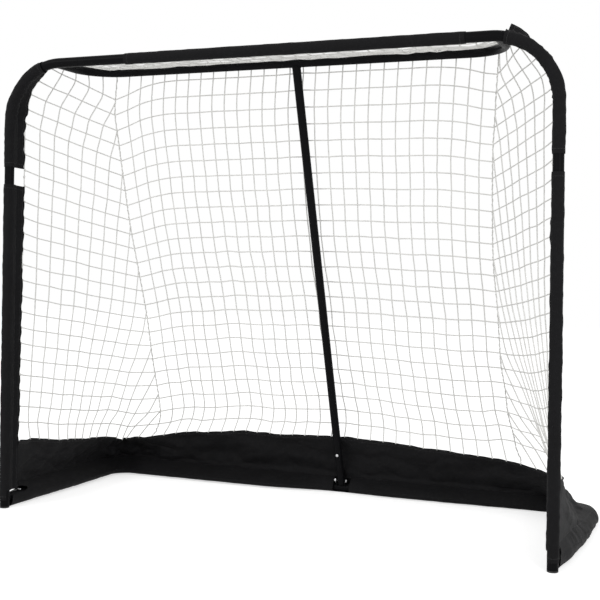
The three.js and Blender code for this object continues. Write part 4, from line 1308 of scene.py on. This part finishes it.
def sweep(shape, line, radius, sides=6):
    """A round cord along a line of points"""
    line = np.asarray(line)
    alongs = unit(np.gradient(line, axis=0))
    side = unit(np.cross(alongs[0], [0.31, 0.52, 0.79]))
    normals = []
    for along in alongs:
        side = unit(side - along * (side @ along))
        normals.append(side)
    return shape.tube(rings_on(line, alongs, np.cross(alongs, normals), radius, sides))


def smooth_line(nodes, steps=4):
    """A curve through nodes"""
    nodes = np.asarray(nodes)
    before = np.concatenate([nodes[:1] * 2 - nodes[1:2], nodes[:-1]])
    after = np.concatenate([nodes[1:], nodes[-1:] * 2 - nodes[-2:-1]])
    slope = (after - before) / 2
    t = (np.arange(steps) / steps)[None, :, None]
    a, b, start, end = nodes[:-1, None], nodes[1:, None], slope[:-1, None], slope[1:, None]
    line = ((2 * t ** 3 - 3 * t ** 2 + 1) * a + (t ** 3 - 2 * t ** 2 + t) * start
            + (3 * t ** 2 - 2 * t ** 3) * b + (t ** 3 - t ** 2) * end)
    return np.concatenate([line.reshape(-1, 3), nodes[-1:]])


def patch(bottom, top, left, right, heights):
    """A grid of points between four edges, with rows at shares of the height"""
    v, u = heights[:, None, None], np.linspace(0, 1, len(bottom))[None, :, None]
    corners = ((1 - u) * (1 - v) * bottom[0] + u * (1 - v) * bottom[-1]
               + (1 - u) * v * top[0] + u * v * top[-1])
    return (1 - v) * bottom[None] + v * top[None] + (1 - u) * left[:, None] + u * right[:, None] - corners


class Net:
    """Cords that cross in knots. A cord is a chain of knot numbers; tied knots stay where they are"""

    def __init__(self, layout):
        self.radius = layout.net.twine / 2
        self.points, self.tied, self.chains, self.knotted = [], [], [], set()

    def add(self, place, tied=False):
        """Adds one knot and returns its number"""
        self.points.append(np.asarray(place, float))
        self.tied.append(tied)
        return len(self.points) - 1

    def cord(self, family, chain, drawn=True):
        """A cord of family 0, across, or 1, up and down"""
        if len(chain) > 1:
            self.chains.append((family, np.array(chain), drawn))

    def grid(self, nodes, tied, drawn_rows, drawn_columns):
        """Adds rows and columns of knots"""
        rows, columns, _ = nodes.shape
        numbers = [self.add(node, fixed) for node, fixed in zip(nodes.reshape(-1, 3), tied.ravel())]
        numbers = np.array(numbers).reshape(rows, columns)
        for i in range(rows):
            self.cord(0, numbers[i], i in drawn_rows)
        for j in range(columns):
            self.cord(1, numbers[:, j], j in drawn_columns)
        self.knotted.update(int(n) for n in numbers[1:-1, 1:-1].ravel())

    def hang(self, seed, uneven=0.0012, spare=0.006, steps=30, keep_clear=None):
        """Moves the knots a little at random and lets gravity pull them until the cords are taut"""
        points = np.array(self.points)
        free = 1.0 - np.array(self.tied, float)[:, None]
        random = np.random.default_rng(seed)
        links = []
        for family in (0, 1):
            for parity in (0, 1):
                pairs = [np.stack([chain[parity:-1:2], chain[parity + 1::2]], -1)
                         for kind, chain, _ in self.chains if kind == family]
                a, b = np.concatenate(pairs).T
                size = np.linalg.norm(points[b] - points[a], axis=1)
                links.append((a, b, size * (1 + random.uniform(0, 2 * spare, len(size)))))
        points = points + random.normal(0, uneven, points.shape) * free
        before = points
        for _ in range(steps):
            points, before = points + ((points - before) * 0.8 - UP * 0.00002) * free, points
            for _ in range(10):
                for a, b, rest in links:
                    span = points[b] - points[a]
                    size = np.linalg.norm(span, axis=1)
                    share = span * (np.maximum(size - rest, 0) / size)[:, None]
                    share /= np.maximum(free[a] + free[b], 1)
                    points[a] += share * free[a]
                    points[b] -= share * free[b]
            if keep_clear:
                points = np.where(free > 0, keep_clear(points), points)
        self.points = points
        return self

    def build(self, name, replaced):
        """The cords and the small knots where they cross, as one piece"""
        shape = Shape()
        for _, chain, drawn in self.chains:
            if drawn:
                sweep(shape, smooth_line(self.points[chain]), self.radius)
        profile = [(-1.7, 0.6), (-0.8, 1.16), (0.1, 1.3), (0.9, 1.14), (1.7, 0.6)]
        profile = [(h * self.radius, r * self.radius) for h, r in profile]
        for family, chain, _ in self.chains:
            for before, number, after in zip(chain[:-2], chain[1:-1], chain[2:]):
                if family == 0 and int(number) in self.knotted:
                    along = self.points[after] - self.points[before]
                    shape.tube(lathe(self.points[number], along, profile, 7))
        return settle(shape.build(name, 60), finish("net_twine"), replaced)


class Netting:
    """Where the net is tied: the seams between rear and side nets, the band, the flaps and the roof.
    Seam points hold height and distance from the middle of the goal, both in metres"""

    seams = {
        "left": [(0.123, 0.581), (0.133, 0.575), (0.18, 0.547), (0.25, 0.543), (0.35, 0.543), (0.5, 0.536),
                 (0.65, 0.539), (0.76, 0.541), (0.9, 0.536), (1.01, 0.531), (1.06, 0.530), (1.15, 0.503)],
        "right": [(0.13, 0.541), (0.171, 0.524), (0.2, 0.524), (0.257, 0.510), (0.33, 0.507), (0.4, 0.499),
                  (0.55, 0.500), (0.655, 0.496), (0.735, 0.499), (0.866, 0.507), (0.951, 0.514),
                  (1.03, 0.525), (1.15, 0.536)],
    }
    lean = 0.364
    # Heights of the lowest and the highest knotted row where they meet the seams, and in the middle
    ties = {"left": (0.159, 1.095), "right": (0.188, 1.111)}
    top_gap = 0.025
    rows, columns = 26, 30
    # How much higher the lowest row lies than evenly spaced rows would
    lift = 0.010
    # How much of the droop at a seam is left one, two, three columns further
    droop = [1.0, 0.64, 0.33, 0.14, 0.04]

    def __init__(self, layout, band_edge):
        self.layout = layout
        self.edge, self.edge_spots = band_edge
        self.roof_y = MOUTH_Y + layout.tubes.roof_depth
        self.lines = {side: self.seam_line(side) for side in self.seams}
        self.seam_knots = {side: self.knots_on_seam(side) for side in self.seams}

    def seam_line(self, side):
        """The line of a seam from the band to the roof tube"""
        table = np.array(self.seams[side])
        heights = np.linspace(table[0, 0], table[-1, 0], 120)
        reach = np.interp(heights, table[:, 0], table[:, 1])
        reach = smoothed(reach, 11, mode="reflect", reflect_type="odd")
        depth = self.roof_y + self.lean * (self.layout.tubes.inner_height - heights)
        way = -1 if side == "left" else 1
        line = np.stack([reach * way, depth, heights], -1)
        line[0] = self.band_point(line[0, 0])
        end = self.roof_point(self.roof_distance(line[-1, 0]), 8)
        line[-12:] = line[-12:] + (end * [way, 1, 1] - line[-1]) * np.linspace(0, 1, 12)[:, None]
        return line

    def knots_on_seam(self, side):
        """Where the rows of both nets meet the seam"""
        line = self.lines[side]
        knotted = np.linspace(*self.ties[side], self.rows - 2)
        return between(np.concatenate([line[:1, 2], knotted, line[-1:, 2]]), line[:, 2], line)

    def regular(self, line):
        """The rows' places on a seam if they didn't droop: even, but for a narrow gap at the top"""
        far = travelled(line)[-1]
        return along_line(line, np.append(np.linspace(0, far - self.top_gap, self.rows - 1), far))

    def band_point(self, spots):
        """Points just under the band's top edge"""
        return between(spots, self.edge_spots, self.edge) - UP * 0.002

    def roof_point(self, distances, angle):
        """Points on the surface of the roof tube: angle from outward, turning up"""
        places, alongs = self.layout.roof.place(distances)
        outward = unit(np.cross(alongs, UP))
        reach = self.layout.rear_radius + self.layout.net.twine / 2
        angle = math.radians(angle)
        return places + reach * (math.cos(angle) * outward + math.sin(angle) * UP)

    def roof_distance(self, across):
        """How far along the roof tube a place across the goal is"""
        fine = np.linspace(0, self.layout.roof.length, 400)
        places, _ = self.layout.roof.place(fine)
        return np.interp(-np.abs(across), -places[:, 0], fine)

    def rear(self):
        """The rear net: a regular grid whose rows droop towards the seams"""
        left, right = (self.regular(self.lines[side]) for side in ("left", "right"))
        bottom = self.band_point(np.linspace(left[0, 0], right[0, 0], self.columns))
        bottom[[0, -1]] = left[0], right[0]
        across = np.linspace(left[-1, 0], right[-1, 0], self.columns)
        top = self.roof_point(self.roof_distance(across), -8)
        top[:, 0] = across
        top[[0, -1]] = left[-1], right[-1]
        share = travelled(left) / travelled(left)[-1]
        nodes = patch(bottom, top, left, right, share)
        nodes[1:-1, 1:-1, 2] += self.lift * (1 - share[1:-1, None])
        for step, share in enumerate(self.droop):
            nodes[:, step] += share * (self.seam_knots["left"] - left)
            nodes[:, -1 - step] += share * (self.seam_knots["right"] - right)
        tied = np.zeros(nodes.shape[:2], bool)
        tied[[0, -1]] = True
        tied[:, [0, -1]] = True
        strut_back = -self.layout.strut_front
        clear = self.layout.rear_radius + 0.0022
        strut_x = self.layout.tubes.strut_aside

        def keep_clear(points):
            behind = (points - self.layout.strut_head) @ strut_back
            needed = clear - np.maximum(np.abs(points[..., 0] - strut_x) - 0.026, 0) * 0.8
            return points + np.maximum(needed - behind, 0)[..., None] * strut_back

        net = Net(self.layout)
        net.grid(nodes, tied, range(1, self.rows - 1), range(1, self.columns - 1))
        self.roof_edge = top
        return net.hang(3, keep_clear=keep_clear)

    def side(self, name):
        """The net of one side: rows from the flaps' edge to the seam, columns beside the post. Each row
        starts as a straight line of samples points, and the low ones follow the band's edge"""
        layout, mesh = self.layout, self.layout.net.mesh
        way = -1 if name == "left" else 1
        seam, ties = self.lines[name], self.seam_knots[name]
        samples = 60
        places, _, flaps, depths = flap_line(layout, TIES_FROM + TIES_APART * np.arange(self.rows - 1))
        front = (places + flaps * (depths + 0.0004)[:, None]) * [way, 1, 1]
        edge = self.band_point(np.linspace(way * (layout.base.length - 0.042), seam[0, 0], samples))
        edge[-1] = seam[0]
        share = np.linspace(0, 1, samples)[:, None]
        slump = edge - (edge[0] + (edge[-1] - edge[0]) * share)
        lines = [edge]
        for row in range(1, self.rows - 1):
            line = front[row] + (ties[row] - front[row]) * share
            lines.append(line + slump * max(0, 1 - row / 11) ** 1.6)
        arm = np.linspace(0.016, self.roof_distance(seam[-1, 0]), samples)
        arm = self.roof_point(arm, 60) * [way, 1, 1]
        arm[-1] = seam[-1]
        lines.append(arm)
        widths = np.array([travelled(line)[-1] for line in lines])
        net = Net(layout)
        columns = {}
        for row, line in enumerate(lines):
            count = int((widths[row] - 0.35 * mesh) / mesh)
            inner = along_line(line, mesh * np.arange(1, count + 1))
            tied = row in (0, self.rows - 1)
            chain = [net.add(line[0], True)] + [net.add(place, tied) for place in inner]
            chain.append(net.add(line[-1], True))
            net.cord(0, chain, not tied)
            for column, number in enumerate(chain[1:-1]):
                columns.setdefault(column + 1, []).append(number)
            if not tied:
                net.knotted.update(chain[1:-1])
        narrowing, numbers = np.minimum.accumulate(widths), np.arange(self.rows)
        for column, chain in columns.items():
            if len(chain) < self.rows:
                row = np.interp(-column * mesh, -narrowing, numbers)
                chain.append(net.add(between(row, numbers, ties), True))
            net.cord(1, chain)
        return net.hang(13 if way > 0 else 29)

    def roof(self):
        """The roof net: from the crossbar's flap over the rear bar to the rear net"""
        layout = self.layout
        across = np.linspace(-0.552, 0.552, self.columns)
        back = self.roof_edge
        over = self.roof_point(self.roof_distance(back[:, 0]), 70)
        over[:, 0] = back[:, 0]
        flap_edge = MOUTH_Y + layout.front_radius + layout.cloth.bar_flap
        front = np.array([[x, flap_edge, layout.bar_z] for x in across])
        shares = np.array([0, 0.24, 0.42, 0.5, 0.58, 0.66, 0.75, 0.84, 1.0])[:, None, None]
        nodes = np.concatenate([front + (over - front) * shares, back[None]])
        nodes[1:-2, :, 2] -= 0.002
        tied = np.zeros(nodes.shape[:2], bool)
        tied[[0, -2, -1]] = True
        tied[:, [0, -1]] = True
        for column, way in ((0, -1), (-1, 1)):
            along = np.linspace(0.03, 0.17, len(nodes) - 3)
            nodes[1:-2, column] = self.roof_point(along, 110) * [way, 1, 1]
        net = Net(layout)
        net.grid(nodes, tied, range(1, len(nodes) - 1), range(self.columns))
        ties = front + BACK * 0.001
        low = (ties[1:] + ties[:-1]) / 2 + BACK * 0.007 - UP * 0.003
        chain = [net.add(place, True) for pair in zip(ties, low) for place in pair]
        net.cord(0, chain + [net.add(ties[-1], True)])
        return net.hang(51, uneven=0.0022, spare=0.02)


def make_nets(layout, band_edge):
    """All nets, the seams between them and the cord in the flaps"""
    netting = Netting(layout, band_edge)
    netting.rear().build("rear_net", ["net_rear"])
    netting.roof().build("roof_net", ["net_roof"])
    for name in ("right", "left"):
        netting.side(name).build(f"side_net_{name}", [f"net_{name}", f"net_corner_{name}"])
        make_seam(layout, netting.lines[name], name)
        make_border(layout, name)


def make_seam(layout, line, name):
    """Two twisted cords with a thinner one laced round them"""
    shape = Shape()
    radius = layout.net.seam_twine / 2
    fine = smooth_line(line, 6)
    far = travelled(fine)
    alongs = unit(np.gradient(fine, axis=0))
    first = unit(np.cross(alongs, BACK))
    second = np.cross(alongs, first)

    def helix(reach, pitch, phase):
        turn = (far * 2 * math.pi / pitch + phase)[:, None]
        return fine + reach * (np.cos(turn) * first + np.sin(turn) * second)

    for phase in (0, math.pi):
        sweep(shape, helix(radius * 1.02, 0.034, phase), radius)
    sweep(shape, helix(radius * 2.3, 0.020, 1.0), radius * 0.6, 5)
    settle(shape.build(f"seam_lacing_{name}", 60), finish("net_twine"), [f"seam_cord_{name}"])


def make_border(layout, name):
    """The cord in the edge of the flaps, its knot between two sleeves and the net's knots on it"""
    distances = np.linspace(0.197, 1.19, 220)
    places, _, flaps, depths = flap_line(layout, distances)
    line = places + flaps * (depths - Sleeve.bead)[:, None]
    shape = sweep(Shape(), line, 0.00115)
    middle = int(np.argmin(np.abs(distances - (GAP_LOW[name] + GAP_HIGH[name]) / 2)))
    knot = [(-0.004, 0.0012), (-0.0028, 0.0026), (-0.001, 0.0021), (0.0006, 0.0031), (0.0024, 0.0024),
            (0.004, 0.0011)]
    shape.tube(lathe(line[middle], UP, knot, 9))
    places, alongs, flaps, depths = flap_line(layout, TIES_FROM + TIES_APART * np.arange(1, 24))
    knot = [(-0.0032, 0.0009), (-0.0018, 0.0019), (0.0002, 0.0022), (0.0021, 0.0018), (0.0034, 0.0008)]
    for centre, along in zip(places + flaps * (depths + 0.0006)[:, None], alongs):
        shape.tube(lathe(centre, along, knot, 8))
    if name == "left":
        shape.mirror()
    settle(shape.build(f"border_cord_{name}", 60), finish("net_twine"))


# Camera, light and floor


# Name, place, width and height in metres, and power in watts
LIGHTS = (("key", (-2.6, -3.4, 3.0), 1.4, 1.4, 45), ("fill", (3.2, -2.2, 2.2), 1.6, 1.6, 20),
          ("front_strip", (-0.9, -3.9, 1.4), 0.3, 1.8, 10), ("right_strip", (2.1, -2.3, 1.2), 0.3, 1.8, 14))
CAMERA_PLACE = (1.093, -2.7075, 0.663)
# Degrees to the left of straight back, and degrees rolled
CAMERA_TURN = (22, 0.84)


def show_to_rays(tree, usual, bright):
    """Shows the bright shader to camera, glossy and transmission rays and the usual one to the others"""
    path = tree.nodes.new("ShaderNodeLightPath")
    for ray in ("Is Camera Ray", "Is Glossy Ray", "Is Transmission Ray"):
        mix = tree.nodes.new("ShaderNodeMixShader")
        tree.links.new(path.outputs[ray], mix.inputs["Fac"])
        tree.links.new(usual, mix.inputs[1])
        tree.links.new(bright, mix.inputs[2])
        usual = mix.outputs[0]
    return usual


def make_stage():
    """White floor and surroundings, daylight from the front left, and the camera of the photograph"""
    scene = bpy.context.scene
    scene.view_settings.view_transform = "Standard"
    world = bpy.data.worlds.new("surroundings")
    scene.world = world
    world.use_nodes = True
    tree = world.node_tree
    background = tree.nodes["Background"]
    background.inputs["Color"].default_value = (1, 1, 1, 1)
    background.inputs["Strength"].default_value = 0.6
    seen = tree.nodes.new("ShaderNodeBackground")
    seen.inputs["Color"].default_value = (1, 1, 1, 1)
    mixed = show_to_rays(tree, background.outputs[0], seen.outputs[0])
    tree.links.new(mixed, tree.nodes["World Output"].inputs["Surface"])

    half, low = 9.0, -0.0002
    corners = [(-half, -half, low), (half, -half, low), (half, half, low), (-half, half, low)]
    floor = Shape().add(corners, [(0, 1, 2, 3)]).build("floor")
    material = bpy.data.materials.new("white_floor")
    material.use_nodes = True
    tree = material.node_tree
    tree.nodes.clear()
    output = tree.nodes.new("ShaderNodeOutputMaterial")
    diffuse = tree.nodes.new("ShaderNodeBsdfDiffuse")
    diffuse.inputs["Color"].default_value = (0.8, 0.8, 0.8, 1)
    glow = tree.nodes.new("ShaderNodeEmission")
    glow.inputs["Strength"].default_value = 0.6
    add = tree.nodes.new("ShaderNodeAddShader")
    tree.links.new(diffuse.outputs[0], add.inputs[0])
    tree.links.new(glow.outputs[0], add.inputs[1])
    tree.links.new(show_to_rays(tree, diffuse.outputs[0], add.outputs[0]), output.inputs["Surface"])
    floor.data.materials.append(material)

    for name, place, width, height, power in LIGHTS:
        light = bpy.data.lights.new(name, "AREA")
        light.shape, light.size, light.size_y, light.energy = "RECTANGLE", width, height, power
        lamp = bpy.data.objects.new(name, light)
        lamp.location = place
        aim = Vector((0, 0, 0.6)) - Vector(place)
        lamp.rotation_euler = aim.to_track_quat("-Z", "Y").to_euler()
        scene.collection.objects.link(lamp)

    camera = bpy.data.objects.new("camera", bpy.data.cameras.new("camera"))
    scene.collection.objects.link(camera)
    scene.camera = camera
    camera.data.sensor_width = 36
    camera.data.lens = 66.5
    camera.data.shift_y = -0.0667
    yaw, roll = (math.radians(angle) for angle in CAMERA_TURN)
    ahead = Vector((-math.sin(yaw), math.cos(yaw), 0))
    across = Vector((math.cos(yaw), math.sin(yaw), 0))
    right = across * math.cos(roll) + Vector((0, 0, 1)) * math.sin(roll)
    above = right.cross(ahead)
    rotation = Matrix((right, above, -ahead)).transposed().to_4x4()
    camera.matrix_world = Matrix.Translation(CAMERA_PLACE) @ rotation


# Operators and panel


class GoalOperator(bpy.types.Operator):
    """Shared by the operators that build pieces"""

    bl_options = {"REGISTER", "UNDO"}

    def execute(self, context):
        self.build(Layout())
        return {"FINISHED"}


class GOAL_OT_tubes(GoalOperator):
    """Build the steel tubes"""

    bl_idname = "goal.tubes"
    bl_label = "Tubes"

    def build(self, layout):
        make_front_tubes(layout)
        make_rear_tubes(layout)


class GOAL_OT_fittings(GoalOperator):
    """Build foot caps, snap buttons, bolt and nut"""

    bl_idname = "goal.fittings"
    bl_label = "Fittings"

    def build(self, layout):
        make_foot_caps(layout)
        make_buttons(layout)
        make_bolt(layout)


class GOAL_OT_sleeves(GoalOperator):
    """Build the cloth sleeves"""

    bl_idname = "goal.sleeves"
    bl_label = "Sleeves"

    def build(self, layout):
        make_sleeves(layout)


class GOAL_OT_net(GoalOperator):
    """Build the band along the floor and the net that hangs from it"""

    bl_idname = "goal.net"
    bl_label = "Band and Net"

    def build(self, layout):
        make_nets(layout, make_band(layout))


class GOAL_OT_stage(bpy.types.Operator):
    """Set up camera, light and floor"""

    bl_idname = "goal.stage"
    bl_label = "Stage"

    def execute(self, context):
        make_stage()
        return {"FINISHED"}


class GOAL_PT_panel(bpy.types.Panel):
    """Lists the operators and the sizes"""

    bl_label = "Floorball Goal"
    bl_space_type = "VIEW_3D"
    bl_region_type = "UI"
    bl_category = "Goal"

    def draw(self, context):
        for operator in OPERATORS:
            self.layout.operator(operator.bl_idname)
        for group in GROUPS:
            box = self.layout.box()
            settings = getattr(context.scene, group)
            for name in type(settings).__annotations__:
                box.prop(settings, name)


OPERATORS = [GOAL_OT_tubes, GOAL_OT_fittings, GOAL_OT_sleeves, GOAL_OT_net, GOAL_OT_stage]
GROUPS = {"goal_tubes": GoalTubeSizes, "goal_cloth": GoalClothSizes, "goal_net": GoalNetSizes,
          "goal_finishes": GoalFinishes}


def register():
    for group in GROUPS.values():
        bpy.utils.register_class(group)
    for name, group in GROUPS.items():
        setattr(bpy.types.Scene, name, bpy.props.PointerProperty(type=group))
    for operator in [*OPERATORS, GOAL_PT_panel]:
        bpy.utils.register_class(operator)


def unregister():
    for operator in [*OPERATORS, GOAL_PT_panel][::-1]:
        bpy.utils.unregister_class(operator)
    for name, group in GROUPS.items():
        delattr(bpy.types.Scene, name)
        bpy.utils.unregister_class(group)


def main():
    register()
    for name in ("tubes", "fittings", "sleeves", "net", "stage"):
        getattr(bpy.ops.goal, name)()


if __name__ == "__main__":
    main()
